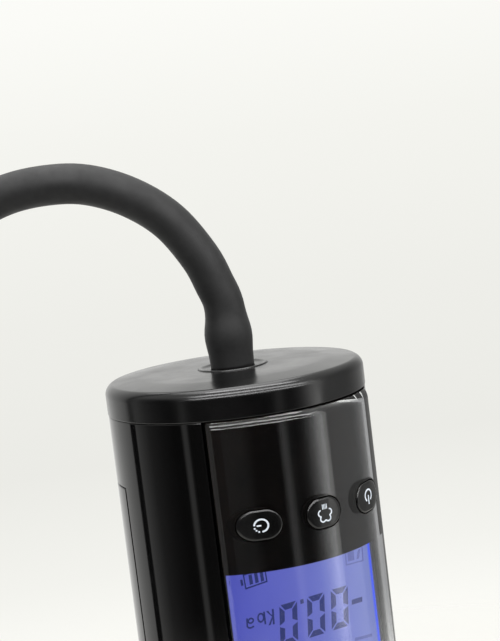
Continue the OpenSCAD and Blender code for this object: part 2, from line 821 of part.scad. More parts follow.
shell();
rear_cover();
rear_cover_screws();
end_cap();
base_cap();
base_screws();
foot_pad();
front_panel();
panel_mask();
key(0);  // timer_key
key(1);  // mode_key
key(2);  // power_key
switch(0);  // timer_switch
switch(1);  // mode_switch
switch(2);  // power_switch
plunger(0);  // timer_plunger
plunger(1);  // mode_plunger
plunger(2);  // power_plunger
display_board();
board_screws();
board_chips();
lcd_glass();
lcd_frame();
backlight();
chassis();
battery_cell(-1);  // battery_cell_left
battery_cell(1);  // battery_cell_right
battery_cradle();
battery_contacts();
charge_board();
charge_socket();
motor_can();
motor_end_bell();
motor_magnets();
motor_armature();
motor_shaft();
crankcase();
crankcase_lid();
crankcase_screws();
crank();
rod_bearing();
connecting_rod();
diaphragm();
valve_plate();
check_valves();
pump_head();
pump_head_screws();
exhaust_muffler();
pump_tube();
air_manifold();
pressure_sensor();
sensor_tube();
release_valve();
release_coil();
release_plunger();
release_spring();
hose_spigot();
spigot_nut();
hose();
hose_connector();
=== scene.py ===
# Hand-held cordless vacuum pump: gloss body, satin end cap with a silicone hose, clear front over a
# lit display.
import bpy, bmesh, json, math
from mathutils import Matrix, Quaternion, Vector


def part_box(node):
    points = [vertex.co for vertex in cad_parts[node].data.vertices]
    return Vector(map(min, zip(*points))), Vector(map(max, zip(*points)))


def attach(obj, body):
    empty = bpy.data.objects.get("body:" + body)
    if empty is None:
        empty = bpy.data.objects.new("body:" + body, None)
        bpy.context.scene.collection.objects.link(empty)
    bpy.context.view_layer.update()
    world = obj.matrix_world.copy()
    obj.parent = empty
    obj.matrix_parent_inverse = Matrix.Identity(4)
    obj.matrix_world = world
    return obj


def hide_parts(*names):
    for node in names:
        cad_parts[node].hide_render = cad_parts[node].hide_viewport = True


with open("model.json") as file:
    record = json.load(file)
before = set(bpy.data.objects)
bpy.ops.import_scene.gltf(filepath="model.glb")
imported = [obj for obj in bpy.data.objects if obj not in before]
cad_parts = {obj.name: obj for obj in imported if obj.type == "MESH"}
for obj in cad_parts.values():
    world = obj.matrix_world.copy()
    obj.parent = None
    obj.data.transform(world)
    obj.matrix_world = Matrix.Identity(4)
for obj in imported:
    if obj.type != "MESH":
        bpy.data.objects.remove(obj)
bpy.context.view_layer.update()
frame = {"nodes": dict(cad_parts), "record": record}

mm = 0.001
scene = bpy.context.scene
scene.view_settings.view_transform = "Standard"
scene.view_settings.look = "None"

# places that the CAD model gives
shellLow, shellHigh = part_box("shell")
capLow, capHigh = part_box("end_cap")
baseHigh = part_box("base_cap")[1]
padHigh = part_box("foot_pad")[1]
panelLow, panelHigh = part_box("front_panel")
coverLow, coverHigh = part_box("rear_cover")
glassLow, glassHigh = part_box("lcd_glass")
shellR = shellHigh.x
capR = capHigh.x
seamZ = shellHigh.z
panelR = -panelLow.y


# camera
view = {"place": (-0.19563, -0.32650, 0.20650), "look": (0.52242, 0.84525, -0.11238), "roll": -6.985,
        "lens": 93.13}
cameraData = bpy.data.cameras.new("camera")
cameraData.lens = view["lens"]
cameraData.clip_start = 0.01
camera = bpy.data.objects.new("camera", cameraData)
camera.location = view["place"]
camera.rotation_mode = "QUATERNION"
camera.rotation_quaternion = Vector(view["look"]).to_track_quat("-Z", "Y") @ Quaternion((0, 0, 1),
        math.radians(view["roll"]))
scene.collection.objects.link(camera)
scene.camera = camera
print("camera made")


# mesh helpers
def addPiece(name, vertices, faces, smooth=True):
    mesh = bpy.data.meshes.new(name)
    mesh.from_pydata([tuple(v) for v in vertices], [], faces)
    work = bmesh.new()
    work.from_mesh(mesh)
    bmesh.ops.remove_doubles(work, verts=work.verts, dist=1e-7)
    bmesh.ops.recalc_face_normals(work, faces=work.faces)
    work.to_mesh(mesh)
    work.free()
    if smooth:
        mesh.shade_smooth()
    piece = bpy.data.objects.new(name, mesh)
    scene.collection.objects.link(piece)
    return piece


def settle(piece):  # turns the piece and its modifiers into one plain mesh
    bpy.context.view_layer.update()
    evaluated = piece.evaluated_get(bpy.context.evaluated_depsgraph_get())
    mesh = bpy.data.meshes.new_from_object(evaluated, preserve_all_data_layers=True,
            depsgraph=bpy.context.evaluated_depsgraph_get())
    piece.modifiers.clear()
    piece.data = mesh
    return piece


def cutOut(piece, cutter):  # takes the cutter's shape out of the piece
    cut = piece.modifiers.new("cut", "BOOLEAN")
    cut.object = cutter
    cut.operation = "DIFFERENCE"
    cut.solver = "EXACT"
    settle(piece)
    bpy.data.objects.remove(cutter)


def softenEdges(piece, width, steps=3, angle=50):  # rounds the sharp rims and keeps the large faces flat
    bevel = piece.modifiers.new("round", "BEVEL")
    bevel.width = width
    bevel.segments = steps
    bevel.limit_method = "ANGLE"
    bevel.angle_limit = math.radians(angle)
    bevel.use_clamp_overlap = True
    evenOut(piece)


def evenOut(piece):
    even = piece.modifiers.new("even", "WEIGHTED_NORMAL")
    even.weight = 60
    even.keep_sharp = True
    settle(piece)


def ringPoint(radius, degrees, z):  # degrees are counted from the front, towards the right
    a = math.radians(degrees)
    return (radius * math.sin(a), -radius * math.cos(a), z)


# a closed outline of radius and height, turned round the z axis
def turned(name, outline, sides=128, soften=0.0):
    count = len(outline)
    vertices = [ringPoint(r, 360 * k / sides, z) for k in range(sides) for r, z in outline]
    faces = []
    for k in range(sides):
        for i in range(count):
            a, b = k * count + i, k * count + (i + 1) % count
            c, d = (k + 1) % sides * count + (i + 1) % count, (k + 1) % sides * count + i
            faces.append((a, b, c, d))
    piece = addPiece(name, vertices, faces)
    if soften:
        softenEdges(piece, soften)
    return piece


def arc(r, z, radius, start, end, steps=7):  # points of a fillet, for an outline
    return [(r + radius * math.cos(math.radians(start + (end - start) * i / steps)),
             z + radius * math.sin(math.radians(start + (end - start) * i / steps)))
             for i in range(steps + 1)]


# a plate that follows the body's round
def curvedPlate(name, angles, heights, outer, inner, kept, closed=False):
    columns = len(angles)
    spans = columns if closed else columns - 1
    vertices, index, faces = [], {}, []

    def corner(side, i, j):
        i = i % columns if closed else i
        if (side, i, j) not in index:
            index[side, i, j] = len(vertices)
            vertices.append(ringPoint((outer if side else inner)(angles[i], heights[j]), angles[i],
                    heights[j]))
        return index[side, i, j]

    def filled(i, j):
        if closed:
            i %= spans
        if not 0 <= i < spans or not 0 <= j < len(heights) - 1:
            return False
        following = angles[i + 1] if i + 1 < columns else angles[0] + 360
        return kept((angles[i] + following) / 2, (heights[j] + heights[j + 1]) / 2)

    for i in range(spans):
        for j in range(len(heights) - 1):
            if not filled(i, j):
                continue
            faces.append((corner(1, i, j), corner(1, i + 1, j), corner(1, i + 1, j + 1), corner(1, i, j + 1)))
            faces.append((corner(0, i, j + 1), corner(0, i + 1, j + 1), corner(0, i + 1, j), corner(0, i, j)))
            rims = [((i, j), (i + 1, j), (i, j - 1)), ((i + 1, j), (i + 1, j + 1), (i + 1, j)),
                    ((i + 1, j + 1), (i, j + 1), (i, j + 1)), ((i, j + 1), (i, j), (i - 1, j))]
            for a, b, beyond in rims:
                if not filled(*beyond):
                    faces.append((corner(1, *b), corner(1, *a), corner(0, *a), corner(0, *b)))
    return addPiece(name, vertices, faces)


def pillOutline(width, height, steps=20):  # flat outline with round ends, counter-clockwise
    r, half = height / 2, (width - height) / 2
    right = [(half + r * math.cos(t), r * math.sin(t)) for t in [math.pi * (k / steps - 0.5)
            for k in range(steps + 1)]]
    return right + [(-x, -z) for x, z in right]


def pillPrism(name, width, height, x, z, yFront, yBack):
    outline = pillOutline(width, height)
    count = len(outline)
    vertices = [(x + u, yFront, z + v) for u, v in outline] + [(x + u, yBack, z + v) for u, v in outline]
    faces = [tuple(range(count)), tuple(range(2 * count - 1, count - 1, -1))]
    faces += [(k, (k + 1) % count, (k + 1) % count + count, k + count) for k in range(count)]
    return addPiece(name, vertices, faces, smooth=False)


def joined(name, parts):  # several pieces made into one mesh
    work = bmesh.new()
    for part in parts:
        work.from_mesh(part.data)
    mesh = bpy.data.meshes.new(name)
    work.to_mesh(mesh)
    work.free()
    for part in parts:
        bpy.data.objects.remove(part)
    piece = bpy.data.objects.new(name, mesh)
    scene.collection.objects.link(piece)
    return piece


def steps(start, end, size):  # evenly spaced values from start to end, no further apart than size
    count = max(1, math.ceil(abs(end - start) / size))
    return [start + (end - start) * k / count for k in range(count)]


# materials
def linear(colour):  # sRGB hex to linear
    values = [int(colour[k:k + 2], 16) / 255 for k in (1, 3, 5)]
    return tuple(v / 12.92 if v <= 0.04045 else ((v + 0.055) / 1.055) ** 2.4 for v in values) + (1.0,)


def addNode(tree, kind, settings=None, links=None):
    node = tree.nodes.new(kind)
    for key, value in (settings or {}).items():
        if isinstance(key, str) and hasattr(node, key):
            setattr(node, key, value)
        else:
            node.inputs[key].default_value = value
    for key, source in (links or {}).items():
        tree.links.new(source, node.inputs[key])
    return node


def startMaterial(name, colour, roughness, settings=None):
    material = bpy.data.materials.new(name)
    material.use_nodes = True
    shader = material.node_tree.nodes["Principled BSDF"]
    shader.inputs["Base Color"].default_value = linear(colour)
    shader.inputs["Roughness"].default_value = roughness
    for key, value in (settings or {}).items():
        shader.inputs[key].default_value = value
    return material, material.node_tree, shader


# a moulded grain: its size and depth in mm
def grained(tree, shader, size, depth, stretch=(1, 1, 1), detail=2.0):
    place = addNode(tree, "ShaderNodeTexCoord")
    scaled = addNode(tree, "ShaderNodeMapping", {"Scale": stretch}, {"Vector": place.outputs["Object"]})
    grain = addNode(tree, "ShaderNodeTexNoise", {"Scale": 1000 / size, "Detail": detail, "Roughness": 0.55},
            {"Vector": scaled.outputs[0]})
    bump = addNode(tree, "ShaderNodeBump", {"Strength": 1.0, "Distance": depth * mm},
            {"Height": grain.outputs[0]})
    tree.links.new(bump.outputs[0], shader.inputs["Normal"])
    return scaled, grain, bump


# a value or colour that drifts over the surface
def varied(tree, shader, socket, place, size, low, high, detail=3.0):
    drift = addNode(tree, "ShaderNodeTexNoise", {"Scale": 1000 / size, "Detail": detail},
            {"Vector": place.outputs[0]})
    if isinstance(low, str):
        ramp = addNode(tree, "ShaderNodeValToRGB", {}, {"Fac": drift.outputs[0]})
        ramp.color_ramp.elements[0].position, ramp.color_ramp.elements[1].position = 0.35, 0.65
        ramp.color_ramp.elements[0].color, ramp.color_ramp.elements[1].color = linear(low), linear(high)
        tree.links.new(ramp.outputs[0], shader.inputs[socket])
    else:
        spread = addNode(tree, "ShaderNodeMapRange", {"From Min": 0.3, "From Max": 0.7, "To Min": low,
                "To Max": high}, {"Value": drift.outputs[0]})
        tree.links.new(spread.outputs[0], shader.inputs[socket])
    return drift


finishes = {}

# polished ABS: deep black with a hard gloss, a slow moulding waviness and faint wiping smears
finishes["shell"], tree, shader = startMaterial("absPolishedBlack", "#060607", 0.06, {"IOR": 1.53})
place, _, bump = grained(tree, shader, 16, 0.004, detail=1.0)
varied(tree, shader, "Roughness", place, 9, 0.035, 0.085)
varied(tree, shader, "Base Color", place, 30, "#050506", "#0a090a")

# spark-eroded ABS: satin black whose fine grain breaks the reflections up
finishes["cap"], tree, shader = startMaterial("absSatinBlack", "#0b0b0c", 0.2, {"IOR": 1.53})
place, grain, bump = grained(tree, shader, 0.5, 0.004)  # the real grain is 0.1 mm, drawn coarser so it shows
varied(tree, shader, "Roughness", place, 9, 0.15, 0.25)
varied(tree, shader, "Base Color", place, 4, "#09090a", "#101011")

# moulded acrylic: water-clear, polished, with the faintest flow waviness
finishes["lens"], tree, shader = startMaterial("acrylicClear", "#f6f8fb", 0.015,
        {"IOR": 1.49, "Transmission Weight": 1.0})
place, grain, bump = grained(tree, shader, 18, 0.003, detail=0.5)

# screen-printed ink on the back of the acrylic: dense black, a little brown where it is thin
finishes["print"], tree, shader = startMaterial("screenInkBlack", "#0a0908", 0.9,
        {"IOR": 1.5, "Specular IOR Level": 0.05})
place, grain, bump = grained(tree, shader, 0.4, 0.002)
varied(tree, shader, "Base Color", place, 14, "#070606", "#150e0a")

# ABS keys with a fine matt polish
finishes["key"], tree, shader = startMaterial("absKeyBlack", "#0d0d0e", 0.2, {"IOR": 1.53})
place, grain, bump = grained(tree, shader, 0.35, 0.003)
varied(tree, shader, "Roughness", place, 3, 0.16, 0.27)
varied(tree, shader, "Base Color", place, 5, "#0b0b0c", "#111112")

# pad-printed white ink, slightly uneven, with a painted glow: the ink gives off a little pale light of its
# own so it reads brighter
symbolInkPaintedGlow, tree, shader = startMaterial("padInkWhitePaintedGlow", "#e4e9ee", 0.5, {"Emission Strength": 0.55})
# painted glow: the emission colour and strength make the white ink shine without any lamp behind it
shader.inputs["Emission Color"].default_value = linear("#dfe9f6")
place, grain, bump = grained(tree, shader, 0.25, 0.004)
varied(tree, shader, "Base Color", place, 0.5, "#cfd6de", "#eff2f5")

# silicone rubber, extruded: soft matt charcoal with fine pores and faint drawing lines
finishes["rubber"], tree, shader = startMaterial("siliconeMattBlack", "#2a2a2b", 0.62,
        {"IOR": 1.41, "Sheen Weight": 0.12, "Sheen Roughness": 0.5})
place, grain, bump = grained(tree, shader, 0.45, 0.012)
varied(tree, shader, "Roughness", place, 6, 0.52, 0.68)
varied(tree, shader, "Base Color", place, 2.5, "#272728", "#2f2f30")

# glass-filled nylon of the inner frame: dark grey with short bright fibres at the surface
finishes["frame"], tree, shader = startMaterial("nylonGlassFilled", "#303337", 0.55, {"IOR": 1.53})
place, grain, bump = grained(tree, shader, 0.6, 0.02, stretch=(1, 1, 5))
varied(tree, shader, "Base Color", place, 1.2, "#2b2e32", "#3b3e42")

# epoxy solder mask: green, glossy, with copper tracks standing a little proud under it
finishes["board"], tree, shader = startMaterial("solderMaskGreen", "#0f4a2a", 0.25, {"IOR": 1.55})
place = addNode(tree, "ShaderNodeTexCoord")
tracks = addNode(tree, "ShaderNodeTexBrick", {"Scale": 160.0, "Mortar Size": 0.08,
        "Color1": linear("#0e4426"), "Color2": linear("#135733"),
    "Mortar": linear("#1c7042")}, {"Vector": place.outputs["Object"]})
tree.links.new(tracks.outputs["Color"], shader.inputs["Base Color"])
bump = addNode(tree, "ShaderNodeBump", {"Strength": 1.0, "Distance": 0.00004},
        {"Height": tracks.outputs["Fac"]})
tree.links.new(bump.outputs[0], shader.inputs["Normal"])

# epoxy moulding compound of chips and switches
finishes["chip"], tree, shader = startMaterial("epoxyMouldedBlack", "#161616", 0.45, {"IOR": 1.55})
place, grain, bump = grained(tree, shader, 0.3, 0.008)
varied(tree, shader, "Base Color", place, 0.8, "#131313", "#1c1c1c")

# zinc-plated steel: bright grey with a fine drawn grain and cloudy plating
finishes["steel"], tree, shader = startMaterial("steelZincPlated", "#b9bcc0", 0.28, {"Metallic": 1.0})
place, grain, bump = grained(tree, shader, 0.8, 0.004, stretch=(1, 1, 8))
varied(tree, shader, "Roughness", place, 2.2, 0.2, 0.38)
varied(tree, shader, "Base Color", place, 3, "#aeb1b6", "#c6c8ca")

# sintered ferrite
finishes["magnet"], tree, shader = startMaterial("ferriteSintered", "#3a3a3c", 0.6, {"IOR": 1.5})
place, grain, bump = grained(tree, shader, 0.4, 0.02)
varied(tree, shader, "Base Color", place, 1.0, "#343436", "#444446")

# enamelled copper wire, wound: fine turns side by side
finishes["copper"], tree, shader = startMaterial("copperEnamelled", "#b4632f", 0.3, {"Metallic": 1.0})
place = addNode(tree, "ShaderNodeTexCoord")
turns = addNode(tree, "ShaderNodeTexWave", {"bands_direction": "DIAGONAL", "Scale": 1000 / 0.35 / 20,
        "Distortion": 0.6}, {"Vector": place.outputs["Object"]})
ramp = addNode(tree, "ShaderNodeValToRGB", {}, {"Fac": turns.outputs["Fac"]})
ramp.color_ramp.elements[0].color, ramp.color_ramp.elements[1].color = linear("#8a421c"), linear("#cf7a3e")
tree.links.new(ramp.outputs[0], shader.inputs["Base Color"])
bump = addNode(tree, "ShaderNodeBump", {"Strength": 1.0, "Distance": 0.0001},
        {"Height": turns.outputs["Fac"]})
tree.links.new(bump.outputs[0], shader.inputs["Normal"])

# turned brass
finishes["brass"], tree, shader = startMaterial("brassTurned", "#c9a75a", 0.25, {"Metallic": 1.0})
place, grain, bump = grained(tree, shader, 0.5, 0.004, stretch=(1, 1, 6))
varied(tree, shader, "Roughness", place, 2, 0.2, 0.34)

# heat-shrunk PVC sleeve of the cells
finishes["cell"], tree, shader = startMaterial("pvcSleeveBlue", "#1f5fa0", 0.3, {"IOR": 1.53})
place, grain, bump = grained(tree, shader, 2.5, 0.03, stretch=(1, 1, 0.3))
varied(tree, shader, "Base Color", place, 6, "#1c5894", "#2468ab")

# acetal and other white mouldings
finishes["white"], tree, shader = startMaterial("acetalWhite", "#e6e5e0", 0.42, {"IOR": 1.48})
place, grain, bump = grained(tree, shader, 0.7, 0.008)
varied(tree, shader, "Base Color", place, 4, "#dfded8", "#ecebe7")

# translucent silicone tube
finishes["tube"], tree, shader = startMaterial("siliconeTranslucent", "#d6d6d0", 0.4,
        {"IOR": 1.41, "Subsurface Weight": 0.3, "Subsurface Scale": 0.002})
place, grain, bump = grained(tree, shader, 0.8, 0.01, stretch=(1, 1, 0.3))
varied(tree, shader, "Base Color", place, 3, "#cfcfc8", "#dededa")

# display glass over its diffuser: violet at the left, paler at the right, a blue leak along the right edge
display = {"left": "#4a50b7", "middle": "#6167c3", "right": "#7a86cc", "edge": "#3d5dff", "line": 0.5 * mm}
finishes["lcd"], tree, shader = startMaterial("displayGlassLit", "#0a0b18", 0.12,
        {"IOR": 1.52, "Emission Strength": 1.0})
place = addNode(tree, "ShaderNodeTexCoord")
split = addNode(tree, "ShaderNodeSeparateXYZ", {}, {"Vector": place.outputs["Object"]})
across = addNode(tree, "ShaderNodeMapRange", {"From Min": glassLow.x, "From Max": glassHigh.x},
        {"Value": split.outputs[0]})
ramp = addNode(tree, "ShaderNodeValToRGB", {}, {"Fac": across.outputs[0]})
edgeAt = 1 - display["line"] / (glassHigh.x - glassLow.x)
for position, colour in [(0.0, display["left"]), (0.45, display["middle"]),
        (edgeAt - 0.01, display["right"]), (edgeAt, display["edge"])]:
    if position == 0:
        ramp.color_ramp.elements[0].color = linear(colour)
    else:
        ramp.color_ramp.elements.new(position).color = linear(colour)
ramp.color_ramp.elements[-1].color = linear(display["edge"])
cloud = addNode(tree, "ShaderNodeTexNoise", {"Scale": 1000 / 8, "Detail": 1.0},
        {"Vector": place.outputs["Object"]})
gain = addNode(tree, "ShaderNodeMapRange", {"To Min": 0.95, "To Max": 1.05}, {"Value": cloud.outputs[0]})
lit = addNode(tree, "ShaderNodeVectorMath", {"operation": "SCALE"},
        {0: ramp.outputs[0], "Scale": gain.outputs[0]})
tree.links.new(lit.outputs[0], shader.inputs["Emission Color"])

# darkened liquid crystal: the same violet seen through the dark segments
segmentInk, tree, shader = startMaterial("liquidCrystalDark", "#05060f", 0.2, {"Emission Strength": 1.0})
place = addNode(tree, "ShaderNodeTexCoord")
split = addNode(tree, "ShaderNodeSeparateXYZ", {}, {"Vector": place.outputs["Object"]})
across = addNode(tree, "ShaderNodeMapRange", {"From Min": -0.012, "From Max": 0.016},
        {"Value": split.outputs[0]})
ramp = addNode(tree, "ShaderNodeValToRGB", {}, {"Fac": across.outputs[0]})
ramp.color_ramp.elements[0].color, ramp.color_ramp.elements[1].color = linear("#1c2765"), linear("#333c7e")
tree.links.new(ramp.outputs[0], shader.inputs["Emission Color"])

# the same, for signs that the display drives only faintly
faintInk, tree, shader = startMaterial("liquidCrystalFaint", "#05060f", 0.2, {"Emission Strength": 1.0})
place = addNode(tree, "ShaderNodeTexCoord")
split = addNode(tree, "ShaderNodeSeparateXYZ", {}, {"Vector": place.outputs["Object"]})
across = addNode(tree, "ShaderNodeMapRange", {"From Min": -0.012, "From Max": 0.016},
        {"Value": split.outputs[0]})
ramp = addNode(tree, "ShaderNodeValToRGB", {}, {"Fac": across.outputs[0]})
ramp.color_ramp.elements[0].color, ramp.color_ramp.elements[1].color = linear("#3f488e"), linear("#5f67ad")
tree.links.new(ramp.outputs[0], shader.inputs["Emission Color"])

# the diffuser behind the display: blue light in a milky acrylic
finishes["light"], tree, shader = startMaterial("acrylicDiffuserLit", "#3c46c8", 0.5,
        {"Emission Strength": 0.9})
place, grain, bump = grained(tree, shader, 0.6, 0.01)
varied(tree, shader, "Emission Color", place, 5, "#3a4ae0", "#5566f2")

for entry in frame["record"]["subparts"]:  # every CAD node starts with its slot's finish
    node = frame["nodes"][entry["node"]]
    for place in node.material_slots:
        place.material = finishes[entry["material_slot"]]
print("materials made:", len(finishes))


def finished(piece, material, body, replaced=()):
    piece.data.materials.clear()
    piece.data.materials.append(material)
    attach(piece, body)
    if replaced:
        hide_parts(*replaced)
    return piece


# hose: over the spigot's barbs, up and over, down beside the body and into a turn behind it
hose = {"radius": 4.65 * mm, "turn": 31, "start": capHigh.z, "sides": 40,
        "swell": [(0, 5.05), (3, 5.2), (6.4, 5.55), (8.4, 5.52), (10.6, 5.05), (12.8, 4.72), (16, 4.65)]}
route = [(0, 0, 0.154), (0.0001, 0, 0.16), (0.00015, 0, 0.1654), (0.0005, 0, 0.169), (0.0017, 0, 0.1726),
        (0.0044, 0, 0.1795),
         (0.0104, 0, 0.1885), (0.0186, 0, 0.195), (0.028, 0, 0.199), (0.037, 0, 0.2), (0.0465, 0, 0.199),
         (0.0555, 0, 0.1955),
         (0.0635, 0, 0.1895), (0.07, 0, 0.182), (0.075, 0, 0.1725), (0.0782, 0, 0.162), (0.0797, 0, 0.15),
         (0.08, 0, 0.136),
         (0.08, 0, 0.112), (0.08, 0, 0.088), (0.08, 0.0005, 0.064), (0.08, 0.003, 0.047),
         (0.08, 0.009, 0.031), (0.08, 0.019, 0.018),
         (0.08, 0.032, 0.0088), (0.08, 0.046, 0.0049), (0.077, 0.066, 0.0047), (0.0675, 0.084, 0.0047),
         (0.052, 0.097, 0.0047),
         (0.033, 0.103, 0.0047), (0.0135, 0.1015, 0.0048), (-0.0025, 0.094, 0.0054), (-0.016, 0.084, 0.0063)]
turnBy = math.radians(hose["turn"])
routePoints = [Vector((q * math.sin(turnBy) - p * math.cos(turnBy),
        p * math.sin(turnBy) + q * math.cos(turnBy), z)) for p, q, z in route]


def smoothed(points, spacing):  # an even curve through the points
    dense = []
    for k in range(len(points) - 1):
        before, a, b, after = points[max(k - 1, 0)], points[k], points[k
                + 1], points[min(k + 2, len(points) - 1)]
        count = max(2, math.ceil((b - a).length / spacing))
        for s in range(count):
            t = s / count
            dense.append(0.5 * ((2 * a) + (b - before) * t + (2 * before - 5 * a + 4 * b - after) * t ** 2
                    + (3 * a - before - 3 * b + after) * t ** 3))
    return dense + [points[-1]]


def sweptTube(name, path, radiusAt, sides):
    vertices, faces, along, side = [], [], 0.0, Vector((0, 1, 0))
    for k, point in enumerate(path):
        way = (path[min(k + 1, len(path) - 1)] - path[max(k - 1, 0)]).normalized()
        side = (side - side.dot(way) * way).normalized()
        other = way.cross(side)
        if k:
            along += (point - path[k - 1]).length
        r = radiusAt(along)
        vertices += [point + r * (math.cos(2 * math.pi * s / sides) * side
                + math.sin(2 * math.pi * s / sides) * other) for s in range(sides)]
    for k in range(len(path) - 1):
        for s in range(sides):
            a, b = k * sides + s, k * sides + (s + 1) % sides
            faces.append((a, b, b + sides, a + sides))
    faces += [tuple(range(sides - 1, -1, -1)), tuple(range(len(vertices) - sides, len(vertices)))]
    return addPiece(name, vertices, faces)


def hoseRadius(along):
    spots = hose["swell"]
    if along >= spots[-1][0] * mm:
        return hose["radius"]
    for (a, ra), (b, rb) in zip(spots, spots[1:]):
        if a * mm <= along < b * mm:
            t = (along / mm - a) / (b - a)
            t = t * t * (3 - 2 * t)
            return (ra + (rb - ra) * t) * mm
    return spots[0][1] * mm


hosePath = smoothed(routePoints, 1.6 * mm)
hosePath = [Vector((0, 0, hose["start"]))] + hosePath
hosePiece = sweptTube("hoseTube", hosePath, hoseRadius, hose["sides"])
finished(hosePiece, finishes["rubber"], "housing", ["hose"])


# repeated small things: one shape set on points, each facing its own way
copiesTree = bpy.data.node_groups.new("copiesOnPoints", "GeometryNodeTree")
for label, kind in [("Points", "NodeSocketGeometry"), ("Shape", "NodeSocketObject"),
        ("Size", "NodeSocketFloat"), ("Finish", "NodeSocketMaterial")]:
    copiesTree.interface.new_socket(label, in_out="INPUT", socket_type=kind)
copiesTree.interface.new_socket("Copies", in_out="OUTPUT", socket_type="NodeSocketGeometry")
given = addNode(copiesTree, "NodeGroupInput")
facing = addNode(copiesTree, "GeometryNodeInputNamedAttribute",
        {"data_type": "FLOAT_VECTOR", "Name": "facing"})
aligned = addNode(copiesTree, "FunctionNodeAlignRotationToVector", {"axis": "Z"},
        {"Vector": facing.outputs[0]})
shape = addNode(copiesTree, "GeometryNodeObjectInfo", {}, {"Object": given.outputs["Shape"]})
spread = addNode(copiesTree, "GeometryNodeInstanceOnPoints", {},
        {"Points": given.outputs["Points"], "Instance": shape.outputs["Geometry"],
    "Rotation": aligned.outputs[0], "Scale": given.outputs["Size"]})
real = addNode(copiesTree, "GeometryNodeRealizeInstances", {}, {"Geometry": spread.outputs[0]})
dressed = addNode(copiesTree, "GeometryNodeSetMaterial", {}, {"Geometry": real.outputs[0],
        "Material": given.outputs["Finish"]})
addNode(copiesTree, "NodeGroupOutput", {}, {"Copies": dressed.outputs[0]})


def copies(name, shapePiece, places, material):  # places: a list of position and facing
    points = bpy.data.meshes.new(name)
    points.from_pydata([tuple(p) for p, way in places], [], [])
    ways = points.attributes.new("facing", "FLOAT_VECTOR", "POINT")
    for k, (p, way) in enumerate(places):
        ways.data[k].vector = way
    piece = bpy.data.objects.new(name, points)
    scene.collection.objects.link(piece)
    modifier = piece.modifiers.new("copies", "NODES")
    modifier.node_group = copiesTree
    identifiers = {item.name: item.identifier for item in copiesTree.interface.items_tree
            if item.in_out == "INPUT"}
    modifier[identifiers["Shape"]] = shapePiece
    modifier[identifiers["Size"]] = 1.0
    modifier[identifiers["Finish"]] = material
    settle(piece)
    bpy.data.objects.remove(shapePiece)
    return piece


# nozzle on the hose's far end
nozzle = {"collar": 6.1 * mm, "barrel": 4.6 * mm, "tip": 3.2 * mm, "bore": 1.75 * mm, "ribs": 24}
nozzleEnd = routePoints[-1]
nozzleWay = (routePoints[-1] - routePoints[-2]).normalized()
profile = [(nozzle["bore"], 0), (5.2 * mm, 0)] + arc(5.7 * mm, 0.5 * mm, 0.4 * mm, -90, 0, 4) + arc(5.7 * mm,
        4.5 * mm, 0.4 * mm, 0, 90, 4)
profile += [(nozzle["barrel"], 5 * mm), (nozzle["barrel"], 12 * mm),
        (nozzle["tip"] + 0.15 * mm, 25.2 * mm)] + arc(nozzle["tip"] - 0.4 * mm,
    25.6 * mm, 0.4 * mm, 0, 90, 4) + [(nozzle["bore"], 26 * mm)]
nozzlePiece = turned("nozzleTaper", profile, sides=64)
evenOut(nozzlePiece)
rib = bmesh.new()
bmesh.ops.create_cube(rib, size=1, matrix=Matrix.Diagonal((3.4 * mm, 0.55 * mm, 0.5 * mm, 1)))
bmesh.ops.bevel(rib, geom=list(rib.edges), offset=0.12 * mm, segments=2, affect="EDGES", profile=0.5)
ribMesh = bpy.data.meshes.new("gripRib")
rib.to_mesh(ribMesh)
rib.free()
ribShape = bpy.data.objects.new("gripRib", ribMesh)
scene.collection.objects.link(ribShape)
ribPlaces = []
for k in range(nozzle["ribs"]):
    a = 2 * math.pi * k / nozzle["ribs"]
    ribPlaces.append((Vector((6.0 * mm * math.cos(a), 6.0 * mm * math.sin(a), 2.5 * mm)),
            Vector((math.cos(a), math.sin(a), 0))))
ribs = copies("nozzleRibs", ribShape, ribPlaces, finishes["cap"])
nozzlePlace = Matrix.Translation(nozzleEnd) @ nozzleWay.to_track_quat("Z", "Y").to_matrix().to_4x4()
for piece in (nozzlePiece, ribs):
    piece.data.transform(nozzlePlace)
for piece in (hosePiece, nozzlePiece, ribs):  # they lie on the table, a little flattened
    for vertex in piece.data.vertices:
        vertex.co.z = max(vertex.co.z, 0.02 * mm)
finished(nozzlePiece, finishes["cap"], "housing", ["hose_connector"])
finished(ribs, finishes["cap"], "housing")
print("nozzle made")


# shell, rear cover, caps
casing = {"wall": 2.2 * mm, "frontHalf": 46.9, "backHalf": 82.5, "frontLow": panelLow.z - 0.8 * mm,
        "coverGap": 0.5, "rim": 0.3 * mm}
coverFrom, coverTo = coverLow.z - 0.25 * mm, coverHigh.z + 0.25 * mm
shellAngles = sorted(set([round(a, 3) for a in [-casing["frontHalf"], casing["frontHalf"],
        180 - casing["backHalf"],
    casing["backHalf"] - 180]] + list(range(-178, 181, 2))))
shellAngles = [a for a in shellAngles if not any(0 < abs(a - f) < 0.6 for f in (-46.9, 46.9, 97.5, -97.5))]
shellHeights = sorted([shellLow.z, 0.03, 0.08, 0.1, 0.115, seamZ, coverFrom, coverTo, casing["frontLow"]])


def shellKept(a, z):
    if abs(a) < casing["frontHalf"] and z > casing["frontLow"]:
        return False
    return not (abs(a) > 180 - casing["backHalf"] and coverFrom < z < coverTo)


